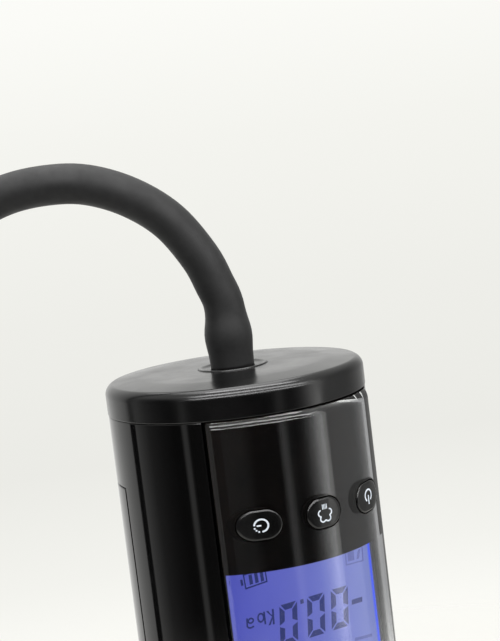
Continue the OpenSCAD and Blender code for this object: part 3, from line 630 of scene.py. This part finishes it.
shellPiece = curvedPlate("shellBody", shellAngles, shellHeights, lambda a, z: shellR, lambda a,
        z: shellR - casing["wall"], shellKept, closed=True)
softenEdges(shellPiece, casing["rim"])
seat = curvedPlate("shellSeat", steps(-casing["frontHalf"] - 1, -44.2, 0.6) + [-44.2],
        [casing["frontLow"] - 1 * mm, seamZ - 0.5 * mm],
                   lambda a, z: shellR - casing["wall"] + 0.5 * mm, lambda a,
                   z: shellR - casing["wall"] - 0.3 * mm, lambda a, z: True)
seatRight = curvedPlate("shellSeatRight", steps(44.2, casing["frontHalf"] + 1, 0.6)
        + [casing["frontHalf"] + 1], [casing["frontLow"] - 1 * mm, seamZ - 0.5 * mm],
                        lambda a, z: shellR - casing["wall"] + 0.5 * mm, lambda a,
                        z: shellR - casing["wall"] - 0.3 * mm, lambda a, z: True)
ledge = curvedPlate("shellLedge", steps(93, 267, 2) + [267], steps(coverFrom - 2 * mm, coverTo + 2 * mm,
        0.02) + [coverTo + 2 * mm],
                    lambda a, z: shellR - casing["wall"] - 0.05 * mm, lambda a,
                    z: shellR - casing["wall"] - 1.2 * mm, lambda a, z: True)
slotShape = pillPrism("slotCut", 9 * mm, 1.6 * mm, 0, 0, -4 * mm, 4 * mm)
slotPlaces = [(Vector((0, coverHigh.y - 1 * mm, 0.112 + k * 3.2 * mm)), Vector((0, 0, 1)))
        for k in range(-3, 4)]
ledgeOpening = pillPrism("ledgeOpening", 14 * mm, 27 * mm, 0, 0.112, coverHigh.y - 6 * mm,
        coverHigh.y + 4 * mm)
cutOut(ledge, ledgeOpening)
shellPiece = joined("shellMoulding", [shellPiece, seat, seatRight, ledge])
shellPiece.data.shade_smooth()
shellPiece.data.set_sharp_from_angle(angle=math.radians(40))
finished(shellPiece, finishes["shell"], "housing", ["shell"])

coverAngles = steps(180 - casing["backHalf"] + casing["coverGap"],
        180 + casing["backHalf"] - casing["coverGap"], 2) + [180 + casing["backHalf"] - casing["coverGap"]]
coverPiece = curvedPlate("rearCover", coverAngles, steps(coverLow.z, coverHigh.z, 0.02) + [coverHigh.z],
        lambda a, z: shellR, lambda a,
    z: shellR - casing["wall"], lambda a, z: True)
softenEdges(coverPiece, casing["rim"])
cutOut(coverPiece, copies("slotCutters", slotShape, slotPlaces, finishes["shell"]))
screwDegrees = [180 - 62, 180 + 62]
screwHeights = [0.03, 0.104]
screwPlaces = []
for a in screwDegrees:
    for z in screwHeights:
        out = Vector(ringPoint(1, a, 0))
        screwPlaces.append((Vector(ringPoint(shellR - 1.3 * mm, a, z)), out))
holeShape = turned("screwHole", [(0.0001 * mm, 0), (2.3 * mm, 0), (2.3 * mm, 3 * mm), (0.0001 * mm, 3 * mm)],
        sides=40)
cutOut(coverPiece, copies("screwHoles", holeShape, screwPlaces, finishes["shell"]))
coverPiece.data.shade_smooth()
coverPiece.data.set_sharp_from_angle(angle=math.radians(40))
finished(coverPiece, finishes["shell"], "housing", ["rear_cover"])


def trueRound(piece, radius):  # shades the faces that lie on a cylinder as one, however they are cut
    mesh, normals = piece.data, []
    for face in mesh.polygons:
        for index in face.loop_indices:
            place = mesh.vertices[mesh.loops[index].vertex_index].co
            out = Vector((place.x, place.y, 0))
            lies = abs(out.length - radius) < 0.01 * mm and face.normal.dot(out.normalized()) > 0.97
            normals.append(out.normalized() if lies else Vector((0, 0, 0)))
    mesh.normals_split_custom_set(normals)


trueRound(shellPiece, shellR)
trueRound(coverPiece, shellR)


def screwHead(name, radius, height):  # domed head with a cross recess
    head = turned(name, [(0.0001 * mm, 0), (radius, 0), (radius, height * 0.45)]
            + arc(radius - height * 0.5, height * 0.5, height * 0.5, 0, 90,
        5) + [(0.0001 * mm, height)], sides=40)
    for turn in (0, 90):
        work = bmesh.new()
        bmesh.ops.create_cube(work, size=1, matrix=Matrix.Translation((0, 0,
                height)) @ Matrix.Rotation(math.radians(turn), 4,
            "Z") @ Matrix.Diagonal((radius * 1.25, radius * 0.26, height * 1.1, 1)))
        mesh = bpy.data.meshes.new("crossCut")
        work.to_mesh(mesh)
        work.free()
        cutter = bpy.data.objects.new("crossCut", mesh)
        scene.collection.objects.link(cutter)
        cutOut(head, cutter)
    head.data.set_sharp_from_angle(angle=math.radians(35))
    return head


coverScrews = copies("coverScrewHeads", screwHead("coverScrew", 2.05 * mm, 1.05 * mm), screwPlaces,
        finishes["steel"])
finished(coverScrews, finishes["steel"], "housing", ["rear_cover_screws"])

capTop = {"fall": 0.8 * mm, "fallWidth": 9 * mm, "round": 2.5 * mm}


def capHeight(r):  # flat in the middle, falling a little towards the rounded edge
    return capHigh.z - capTop["fall"] * (max(0, r - capR + capTop["fallWidth"]) / capTop["fallWidth"]) ** 1.2


edgeZ = capHigh.z - 0.6 * capTop["fall"] - capTop["round"]
capProfile = [(8.12 * mm, capHigh.z - 1.05 * mm), (8.12 * mm, capHigh.z - 0.1 * mm), (8.22 * mm, capHigh.z)]
capProfile += [(r * mm, capHeight(r * mm)) for r in (14, 19, 21, 22, 23, 24, 25, 26, 26.8, 27.4)]
capProfile += [(r, min(z, capHeight(r))) for r, z in arc(capR - capTop["round"], edgeZ, capTop["round"], 78,
        0, 16)]
capProfile += arc(capR - 0.35 * mm, seamZ + 0.35 * mm, 0.35 * mm, 0, -90, 4)
capProfile += [(27.6 * mm, seamZ), (27.6 * mm, capLow.z), (25.3 * mm, capLow.z),
        (25.3 * mm, seamZ + 2.5 * mm), (8.12 * mm, seamZ + 2.5 * mm)]
capPiece = turned("endCap", capProfile, sides=160)
evenOut(capPiece)
finished(capPiece, finishes["cap"], "housing", ["end_cap"])

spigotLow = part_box("hose_spigot")[0].z
spigotProfile = [(1.75 * mm, spigotLow), (4 * mm, spigotLow), (4 * mm, capHigh.z - 1 * mm),
        (7.9 * mm, capHigh.z - 1 * mm)] + arc(7.7 * mm,
    capHigh.z - 0.05 * mm, 0.3 * mm, 0, 90, 4)
spigotProfile += [(7.1 * mm, capHigh.z + 0.12 * mm), (6.9 * mm, capHigh.z - 0.02 * mm),
        (3.4 * mm, capHigh.z - 0.02 * mm),
    (3.4 * mm, capHigh.z + 2.4 * mm), (4 * mm, capHigh.z + 2.4 * mm), (3.4 * mm, capHigh.z + 5.4 * mm),
                  (3.4 * mm, capHigh.z + 6.4 * mm), (4 * mm, capHigh.z + 6.4 * mm),
                  (3.4 * mm, capHigh.z + 9.4 * mm), (3.4 * mm,
                  capHigh.z + 10.6 * mm), (1.75 * mm, capHigh.z + 10.6 * mm)]
spigotPiece = turned("spigotFlange", spigotProfile, sides=96)
spigotPiece.data.set_sharp_from_angle(angle=math.radians(40))
finished(spigotPiece, finishes["cap"], "housing", ["hose_spigot"])

baseProfile = [(0.0001 * mm, 1.15 * mm), (24.3 * mm, 1.15 * mm), (24.3 * mm, 0.75 * mm),
        (24.45 * mm, 0.6 * mm)] + arc(26 * mm, 4.6 * mm, 4 * mm, -90, 0, 12)
baseProfile += arc(capR - 0.3 * mm, shellLow.z - 0.3 * mm, 0.3 * mm, 0, 90, 4) + [(27.6 * mm, shellLow.z),
        (27.6 * mm, baseHigh.z),
    (25.3 * mm, baseHigh.z), (25.3 * mm, 2.6 * mm), (0.0001 * mm, 2.6 * mm)]
basePiece = turned("baseCap", baseProfile, sides=160)
evenOut(basePiece)
socketLow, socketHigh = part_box("charge_socket")
cutOut(basePiece, pillPrism("socketCut", 9.6 * mm, 3.8 * mm, 0, (socketLow.z + socketHigh.z) / 2, 22 * mm,
        34 * mm))
finished(basePiece, finishes["cap"], "housing", ["base_cap"])

padProfile = [(0.0001 * mm, 0.45 * mm), (21.5 * mm, 0.45 * mm), (21.8 * mm, 0.1 * mm)] + arc(22.1 * mm,
        0.25 * mm, 0.25 * mm, -90, -60,
    2) + [(23.4 * mm, 0)] + arc(23.6 * mm, 0.4 * mm, 0.4 * mm, -90, 0, 5)
padProfile += [(24 * mm, 0.9 * mm), (23.8 * mm, padHigh.z), (0.0001 * mm, padHigh.z)]
padPiece = turned("footPad", padProfile, sides=128)
evenOut(padPiece)
finished(padPiece, finishes["rubber"], "housing", ["foot_pad"])
pip = turned("treadPip", [(0.0001 * mm, -0.1 * mm), (0.7 * mm, -0.1 * mm), (0.62 * mm, 0.32 * mm),
        (0.5 * mm, 0.42 * mm), (0.0001 * mm, 0.44 * mm)], sides=14)
pipPlaces = []
for ring in range(1, 8):
    for k in range(6 * ring):
        pipPlaces.append((Vector(ringPoint(ring * 2.8 * mm, 360 * k / (6 * ring) + 11 * ring, 0.45 * mm)),
                Vector((0, 0, -1))))
pips = copies("footTread", pip, pipPlaces, finishes["rubber"])
finished(pips, finishes["rubber"], "housing")
print("casing made")


# clear front panel and its print
front = {"half": 45.4, "thick": 2.2 * mm, "sideBevel": 2.8, "sideDrop": 1.0 * mm, "topBevel": 2.1 * mm,
        "topRound": 2.9 * mm, "topDrop": 0.9 * mm, "keyGap": 0.2 * mm}
panelIn = panelR - front["thick"]
keyR = panelR + 0.3 * mm
maskLow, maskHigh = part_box("panel_mask")
bandZ = seamZ - 34.1 * mm
windowLow = bandZ - 50 * mm


def eased(t, blend):  # 0 before a bevel starts, then its slope, with a rounded ridge between them
    return (t + math.sqrt(t * t + blend * blend)) / 2 - blend / 2 * max(0, 1 - abs(t) / (4 * blend))


def panelOuter(a, z):
    side = eased((abs(a) - front["half"] + front["sideBevel"]) / front["sideBevel"], 0.08) * front["sideDrop"]
    over = max(0, z - panelHigh.z + front["topBevel"])
    top = front["topRound"] - math.sqrt(front["topRound"] ** 2 - over ** 2)
    low = eased((panelLow.z + 1.6 * mm - z) / (1.6 * mm), 0.06) * front["topDrop"]
    return panelR - min(max(side, top, low), 1.25 * mm)


edge = front["half"]
panelAngles = steps(-edge, -edge + 4.4, 0.28) + steps(-edge + 4.4, edge - 4.4, 1) + steps(edge - 4.4, edge,
        0.28) + [edge]
panelHeights = steps(panelLow.z, panelLow.z + 2.6 * mm, 0.25 * mm) + steps(panelLow.z + 2.6 * mm,
        panelHigh.z - 3.2 * mm,
    6 * mm) + steps(panelHigh.z - 3.2 * mm, panelHigh.z, 0.13 * mm) + [panelHigh.z]
panelPiece = curvedPlate("frontPanel", panelAngles, panelHeights, panelOuter, lambda a, z: panelIn, lambda a,
        z: True)
maskPiece = curvedPlate("panelPrint", steps(-edge, edge, 1) + [edge],
        [maskLow.z, windowLow, bandZ, maskHigh.z], lambda a,
    z: panelIn + (0.02 if abs(a) > 40 else -0.01) * mm, lambda a, z: panelIn - 0.25 * mm,
                        lambda a, z: not windowLow < z < bandZ)
blackEdges = []  # the print also runs round the clear moulding's side and top edges beside the black bands
for turn in (-1, 1):
    low, high = sorted((turn * (edge - 0.08), turn * (edge + 0.25)))
    for lowZ, highZ in ((maskLow.z, windowLow), (bandZ, maskHigh.z)):
        blackEdges.append(curvedPlate("edgePrint", [low, high], [lowZ, highZ], lambda a,
                z: panelR - 0.98 * mm, lambda a, z: panelIn - 0.25 * mm, lambda a, z: True))
blackEdges.append(curvedPlate("topPrint", steps(-edge, edge, 1) + [edge],
        [maskHigh.z - 0.1 * mm, panelHigh.z + 0.1 * mm], lambda a,
    z: panelR - 0.9 * mm, lambda a, z: panelIn - 0.25 * mm, lambda a, z: True))
keyNodes = ["timer_key", "mode_key", "power_key"]
keyBoxes = [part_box(name) for name in keyNodes]
keyZ = (keyBoxes[0][0].z + keyBoxes[0][1].z) / 2
keySize = {"width": 9 * mm, "height": 6.8 * mm}
for low, high in keyBoxes:
    x = (low.x + high.x) / 2
    for target in (panelPiece, maskPiece):
        cutOut(target, pillPrism("keyCut", keySize["width"] + 2 * front["keyGap"],
                keySize["height"] + 2 * front["keyGap"], x, keyZ, -0.036, -0.012))
for low, high in keyBoxes:  # a black sleeve lines each key's hole
    x = (low.x + high.x) / 2
    rim, lining = pillOutline(keySize["width"] + 2 * front["keyGap"] + 0.06 * mm,
            keySize["height"] + 2 * front["keyGap"] + 0.06 * mm), []
    inside = pillOutline(keySize["width"] + 0.2 * mm, keySize["height"] + 0.2 * mm)
    for outline in (rim, inside):
        for radius in (panelR - 0.03 * mm, panelIn - 0.25 * mm):
            lining += [(x + u, -math.sqrt(radius ** 2 - (x + u) ** 2), keyZ + v) for u, v in outline]
    n = len(rim)
    walls = [(a * n + k, a * n + (k + 1) % n, b * n + (k + 1) % n, b * n + k) for a,
            b in ((0, 1), (1, 3), (3, 2), (2, 0)) for k in range(n)]
    blackEdges.append(addPiece("keyLining", lining, walls))
finished(joined("edgePrints", blackEdges), finishes["print"], "housing")
for target in (panelPiece, maskPiece):
    target.data.shade_smooth()
    target.data.set_sharp_from_angle(angle=math.radians(42))
finished(panelPiece, finishes["lens"], "housing", ["front_panel"])
finished(maskPiece, finishes["print"], "housing", ["panel_mask"])
print("front panel made")


# keys and their symbols
def keyCap(name, x, width, height):  # a pill whose face follows the panel's round, with a soft rim
    rings = [(0.0, None), (0.0, 0.6), (0.06, 0.3), (0.17, 0.13), (0.33, 0.035), (0.55, 0.0), (1.1, 0.0),
            (1.8, 0.0), (2.5, 0.0), (3.1, 0.0), (3.38, 0.0)]
    vertices, faces = [], []
    for inset, drop in rings:
        outline = pillOutline(width - 2 * inset * mm, height - 2 * inset * mm)
        for u, v in outline:
            if drop is None:
                y = -math.sqrt((keyR - 4.2 * mm) ** 2 - (x + u) ** 2)
            else:
                y = -math.sqrt((keyR - drop * mm) ** 2 - (x + u) ** 2)
            vertices.append((x + u, y, keyZ + v))
    count = len(pillOutline(1, 0.5))
    for k in range(len(rings) - 1):
        for s in range(count):
            a, b = k * count + s, k * count + (s + 1) % count
            faces.append((a, b, b + count, a + count))
    faces += [tuple(range(count - 1, -1, -1)), tuple(range(len(vertices) - count, len(vertices)))]
    piece = addPiece(name, vertices, faces)
    evenOut(piece)
    return piece


# strokes: a list of points, a width and whether it closes, all in mm
def inkLines(name, x, strokes, lift=0.012 * mm):
    vertices, faces = [], []
    for points, width, loop in strokes:
        count = len(points)
        first = len(vertices)
        for k, (u, v) in enumerate(points):
            before = points[(k - 1) % count] if loop or k else points[0]
            after = points[(k + 1) % count] if loop or k < count - 1 else points[-1]
            dx, dz = after[0] - before[0], after[1] - before[1]
            size = math.hypot(dx, dz) or 1
            for s in (-1, 1):
                px, pz = x + (u - s * dz / size * width / 2) * mm, keyZ + (v + s * dx / size * width / 2) * mm
                vertices.append((px, -math.sqrt((keyR + lift) ** 2 - px ** 2), pz))
        for k in range(count if loop else count - 1):
            a, b = first + 2 * k, first + 2 * ((k + 1) % count)
            faces.append((a, b, b + 1, a + 1))
    piece = addPiece(name, vertices, faces)
    thick = piece.modifiers.new("ink", "SOLIDIFY")
    thick.thickness = 0.03 * mm
    thick.offset = -1
    settle(piece)
    return piece


def arcPoints(cx, cz, radius, start, end, count=40):
    return [(cx + radius * math.cos(math.radians(start + (end - start) * k / count)),
        cz + radius * math.sin(math.radians(start + (end - start) * k / count))) for k in range(count + 1)]


def bar(x0, z0, x1, z1, count=3):
    return [(x0 + (x1 - x0) * k / count, z0 + (z1 - z0) * k / count) for k in range(count + 1)]


timerStrokes = [(arcPoints(0, 0, 1.36, 177, -88), 0.36, False), (bar(-0.9, 0, 0, 0), 0.32, False)]
timerStrokes += [(bar(1.42 * math.cos(t) - 0.17, 1.42 * math.sin(t), 1.42 * math.cos(t) + 0.17,
        1.42 * math.sin(t)), 0.32,
    False) for t in (math.radians(d) for d in (202, 224, 247))]
flower = []  # four round lobes; where a fifth would stand at the top it is open, for the short strokes
for lobe, start, end in ((162, 92, 262), (234, 146, 322), (306, 218, 394), (378, 278, 448)):
    for k in range(13):
        t = math.radians(start + (end - start) * k / 12)
        flower.append((1.12 * math.cos(math.radians(lobe)) + 0.68 * math.cos(t),
                1.12 * math.sin(math.radians(lobe)) + 0.68 * math.sin(t) - 0.3))
modeStrokes = [(flower, 0.31, False)] + [(bar(u, 0.85, u, 1.95), 0.18, False)
        for u in (-0.54, -0.18, 0.18, 0.54)]
powerStrokes = [(arcPoints(0, 0.3, 1.32, 236, -56), 0.36, False), (bar(0, 0.35, 0, -1.7), 0.34, False)]
for node, label, strokes, (low, high) in zip(keyNodes, ["timer", "mode", "power"],
        [timerStrokes, modeStrokes, powerStrokes], keyBoxes):
    x = (low.x + high.x) / 2
    body = label + "_button"
    finished(keyCap(label + "Key", x, keySize["width"], keySize["height"]), finishes["key"], body,
            [node])
    finished(inkLines(label + "Symbol", x, strokes), symbolInkPaintedGlow, body)
print("keys made")


# display: dark segments on the lit glass; the read-out stands on its head, as the pump is held
def flatShapes(name, outlines, y, thickness=0.02 * mm):
    vertices, faces = [], []
    for outline in outlines:
        first = len(vertices)
        vertices += [(u * mm, y, v * mm) for u, v in outline]
        faces.append(tuple(range(first, len(vertices))))
    mesh = bpy.data.meshes.new(name)
    mesh.from_pydata(vertices, [], faces)
    piece = bpy.data.objects.new(name, mesh)
    scene.collection.objects.link(piece)
    for face in mesh.polygons:
        if face.normal.y > 0:
            face.flip()
    thick = piece.modifiers.new("film", "SOLIDIFY")
    thick.thickness = thickness
    thick.offset = 0
    settle(piece)
    return piece


digit = {"width": 4.75, "height": 9.35, "stroke": 1.35, "slant": 0.105, "gap": 0.14, "low": 91.85}


def zeroDigit(left):  # six hexagonal segments of a seven-segment figure, leaning as the display's figures do
    w, h, s, g = digit["width"], digit["height"], digit["stroke"], digit["gap"]
    mid = h / 2

    def lean(points):
        return [(left + u + (v - 0) * digit["slant"], digit["low"] + v) for u, v in points]
    flat = lambda v, d: [(g + 0.2, v), (w - g - 0.2, v), (w - s - g, v + d * s), (s + g, v + d * s)]
    upright = lambda u, d, a, b, cutA, cutB: [(u, a), (u + d * s, a + cutA), (u + d * s, b - cutB), (u, b)]
    shapes = [flat(0, 1), flat(h, -1)]
    for u, d in ((0, 1), (w, -1)):
        shapes.append(upright(u, d, g + 0.15, mid - g, s, s / 2))
        shapes.append(upright(u, d, mid + g, h - g - 0.15, s / 2, s))
    return [lean(shape) for shape in shapes]


outlines = zeroDigit(-7.5) + zeroDigit(-0.05) + zeroDigit(6.5)
outlines += [[(-0.95, 100.1), (-0.95, 101.1), (-0.05, 101.1), (-0.05, 100.1)],
        [(12.75, 96.35), (12.85, 97.5), (15.85, 97.5), (15.75, 96.35)]]
# the unit, upside down: k, p, a from the right
outlines += [[(-8.75, 97.4), (-8.25, 97.4), (-8.05, 100.9), (-8.55, 100.9)],
        [(-9.9, 97.5), (-9.3, 97.5), (-8.6, 98.8), (-8.7, 99.3)],
    [(-8.6, 99.6), (-8.5, 99.0), (-9.5, 100.8), (-10.1, 100.8)]]


def ringShapes(cx, cz, rx, rz, width, start, end, count=14):
    out = []
    for k in range(count):
        a, b = math.radians(start + (end - start) * k / count), math.radians(start
                + (end - start) * (k + 1) / count)
        out.append([(cx + rx * math.cos(a), cz + rz * math.sin(a)),
                (cx + rx * math.cos(b), cz + rz * math.sin(b)),
                    (cx + (rx - width) * math.cos(b), cz + (rz - width) * math.sin(b)),
                    (cx + (rx - width) * math.cos(a), cz + (rz - width) * math.sin(a))])
    return out


outlines += ringShapes(-11.6, 99.75, 0.95, 1.15, 0.42, 0, 360) + [[(-10.85, 98.0), (-10.4, 98.0),
        (-10.4, 100.9), (-10.85, 100.9)]]
outlines += ringShapes(-14.2, 99.75, 0.85, 0.72, 0.4, 0, 360) + [[(-15.45, 98.75), (-15.05, 98.75),
        (-14.9, 100.55), (-15.3, 100.55)]]
outlines += ringShapes(-14.3, 98.85, 1.15, 0.85, 0.4, 185, 320)
# battery sign
outlines += [[(-14.5, 106.95), (-14.5, 107.3), (-8.8, 107.6), (-8.8, 107.25)],
        [(-14.6, 106.95), (-14.25, 106.95), (-14.45, 110.4), (-14.8, 110.4)],
    [(-9.1, 107.3), (-8.75, 107.3), (-8.9, 110.7), (-9.25, 110.7)],
             [(-14.8, 110.1), (-14.8, 110.45), (-8.9, 110.75), (-8.9, 110.4)],
             [(-15.5, 108.0), (-14.9, 108.0), (-15.0, 109.4), (-15.6, 109.4)]]
outlines += [[(u, 107.7), (u + 0.85, 107.75), (u + 0.75, 110.0), (u - 0.1, 109.95)]
        for u in (-13.3, -11.85, -10.4)]
filmY = glassLow.y - 0.02 * mm
segments = flatShapes("displayFigures", outlines, filmY)
finished(segments, segmentInk, "housing")
faint = [[(12.4, 105.7), (12.4, 106.0), (17.4, 105.9), (17.4, 105.6)],
        [(12.4, 105.8), (12.7, 105.8), (12.85, 109.4), (12.55, 109.4)],
    [(17.1, 105.7), (17.4, 105.7), (17.6, 109.3), (17.3, 109.3)],
         [(12.5, 109.2), (12.5, 109.5), (17.6, 109.4), (17.6, 109.1)],
         [(13.1, 106.5), (14.9, 106.5), (15.0, 108.6), (13.2, 108.6)], [(15.5, 106.5),
         (16.2, 106.5), (16.9, 108.6), (16.2, 108.6)],
         [(12.5, 87.8), (12.5, 88.5), (17.4, 88.3), (17.4, 87.6)]]
faintPiece = flatShapes("displayFaint", faint, filmY)
finished(faintPiece, faintInk, "housing")
print("display made")


# surroundings: pale sweep, soft light, a darker side behind the camera
floorSize = {"radius": 0.42, "solid": 0.15}
floorVertices = [(0, 0, 0)] + [(floorSize["radius"] * math.cos(2 * math.pi * k / 96),
        floorSize["radius"] * math.sin(2 * math.pi * k / 96), 0) for k in range(96)]
floor = addPiece("floor", floorVertices, [(0, k + 1, (k + 1) % 96 + 1) for k in range(96)], smooth=False)
floorPaint = bpy.data.materials.new("paperSweepWhite")  # matt paper that fades into the backdrop
floorPaint.use_nodes = True
tree = floorPaint.node_tree
shader = tree.nodes["Principled BSDF"]
shader.inputs["Base Color"].default_value = linear("#eeede9")
shader.inputs["Roughness"].default_value = 0.9
place = addNode(tree, "ShaderNodeTexCoord")
away = addNode(tree, "ShaderNodeVectorMath", {"operation": "LENGTH"}, {0: place.outputs["Object"]})
fade = addNode(tree, "ShaderNodeMapRange", {"From Min": floorSize["solid"],
        "From Max": floorSize["radius"] * 0.95, "To Min": 1.0, "To Max": 0.0,
    "interpolation_type": "SMOOTHERSTEP"}, {"Value": away.outputs["Value"]})
tree.links.new(fade.outputs[0], shader.inputs["Alpha"])
floor.data.materials.append(floorPaint)

world = bpy.data.worlds.new("studio")
scene.world = world
world.use_nodes = True
tree = world.node_tree
tree.nodes.clear()
place = addNode(tree, "ShaderNodeTexCoord")
split = addNode(tree, "ShaderNodeSeparateXYZ", {}, {"Vector": place.outputs["Generated"]})


def rampOf(source, stops, low=0.0, high=1.0):
    scaled = addNode(tree, "ShaderNodeMapRange", {"From Min": low, "From Max": high}, {"Value": source})
    ramp = addNode(tree, "ShaderNodeValToRGB", {}, {"Fac": scaled.outputs[0]})
    ramp.color_ramp.interpolation = "EASE" if len(stops) < 8 else "LINEAR"
    for k, (value, colour) in enumerate(stops):
        at = (value - low) / (high - low)
        element = ramp.color_ramp.elements[k] if k < 2 else ramp.color_ramp.elements.new(at)
        element.position = at
        element.color = colour
    return ramp


backdrop = rampOf(split.outputs["Z"], [(-0.35, linear("#fdfdf9")), (-0.29, linear("#fbfbf6")),
        (-0.25, linear("#f3f3ee")),
    (-0.187, linear("#ebebe6")), (-0.1, linear("#eeeee9")), (0.0, linear("#f4f4ef")),
    (0.078, linear("#fbfbf7")), (0.15, linear("#fdfdfa"))], -0.35, 0.15)
# brightness of the room round the pump, by direction: degrees from the front, towards the right
room = [(-180, 1.0), (-161, 0.85), (-141, 0.68), (-132, 0.45), (-118, 0.18), (-104, 0.09), (-92, 0.045),
        (-84, 0.045), (-82, 0.5), (-79, 0.5),
    (-77, 0.05), (-62, 0.06), (-52, 0.12),
        (-32, 0.1), (-22, 0.03), (0, 0.03), (4, 0.4), (8, 0.3), (10, 0.08), (17, 0.04), (24, 0.12),
        (32, 0.6), (44, 2.3), (46, 2.3), (48, 0.55), (62,
            0.5), (85, 0.32), (120, 0.45), (142, 0.9), (180, 1.0)]
angle = addNode(tree, "ShaderNodeMath", {"operation": "ARCTAN2"}, {})
flip = addNode(tree, "ShaderNodeMath", {"operation": "MULTIPLY", 1: -1.0}, {0: split.outputs["Y"]})
tree.links.new(split.outputs["X"], angle.inputs[0])
tree.links.new(flip.outputs[0], angle.inputs[1])
around = rampOf(angle.outputs[0], [(math.radians(a), (v / 2.5, v / 2.5, v / 2.5 * 0.98, 1)) for a,
        v in room], -math.pi, math.pi)
aroundScaled = addNode(tree, "ShaderNodeVectorMath", {"operation": "SCALE", "Scale": 2.5},
        {0: around.outputs[0]})
above = addNode(tree, "ShaderNodeMapRange", {"From Min": 0.3, "From Max": 0.75,
        "interpolation_type": "SMOOTHSTEP"}, {"Value": split.outputs["Z"]})
roomMix = addNode(tree, "ShaderNodeMix", {"data_type": "RGBA"}, {"Factor": above.outputs[0]})
tree.links.new(aroundScaled.outputs[0], roomMix.inputs[6])
roomMix.inputs[7].default_value = (0.85, 0.85, 0.83, 1)
rays = addNode(tree, "ShaderNodeLightPath")
seen = addNode(tree, "ShaderNodeMix", {"data_type": "RGBA"}, {"Factor": rays.outputs["Is Camera Ray"]})
tree.links.new(roomMix.outputs[2], seen.inputs[6])
tree.links.new(backdrop.outputs[0], seen.inputs[7])
sky = addNode(tree, "ShaderNodeBackground", {"Strength": 1.0}, {"Color": seen.outputs[2]})
addNode(tree, "ShaderNodeOutputWorld", {}, {"Surface": sky.outputs[0]})


def softbox(name, place, aim, size, power):
    data = bpy.data.lights.new(name, "AREA")
    data.shape = "RECTANGLE"
    data.size, data.size_y = size
    data.energy = power
    light = bpy.data.objects.new(name, data)
    light.location = place
    light.rotation_mode = "QUATERNION"
    light.rotation_quaternion = (Vector(aim) - Vector(place)).to_track_quat("-Z", "Y")
    scene.collection.objects.link(light)
    return light


softbox("ceilingSoftbox", (0.15, 0.35, 1.3), (0, 0, 0.1), (1.0, 1.0), 8).visible_transmission = False
# to whoever looks at the pump, and to their right
towards, sideways = Vector((-0.526, -0.851, 0)), Vector((0.851, -0.526, 0))
# three ceiling tubes side by side, seen only in the gloss
for number, (away, width) in enumerate(((2.6, 0.9), (0.95, 0.36), (0.15, 0.22))):
    length = 2.6 * away + 0.7
    tube = softbox("ceilingTube%d" % number, towards * away + sideways * (0.55 * away + 0.15)
            + Vector((0, 0, 1.3)), (0, 0, 0.15), (length, width), 30 * width * length)
    tube.rotation_quaternion = Quaternion((0, 0, 1), math.atan2(towards.y, towards.x) + math.pi / 2)
    tube.visible_diffuse = tube.visible_transmission = False
print("surroundings made")
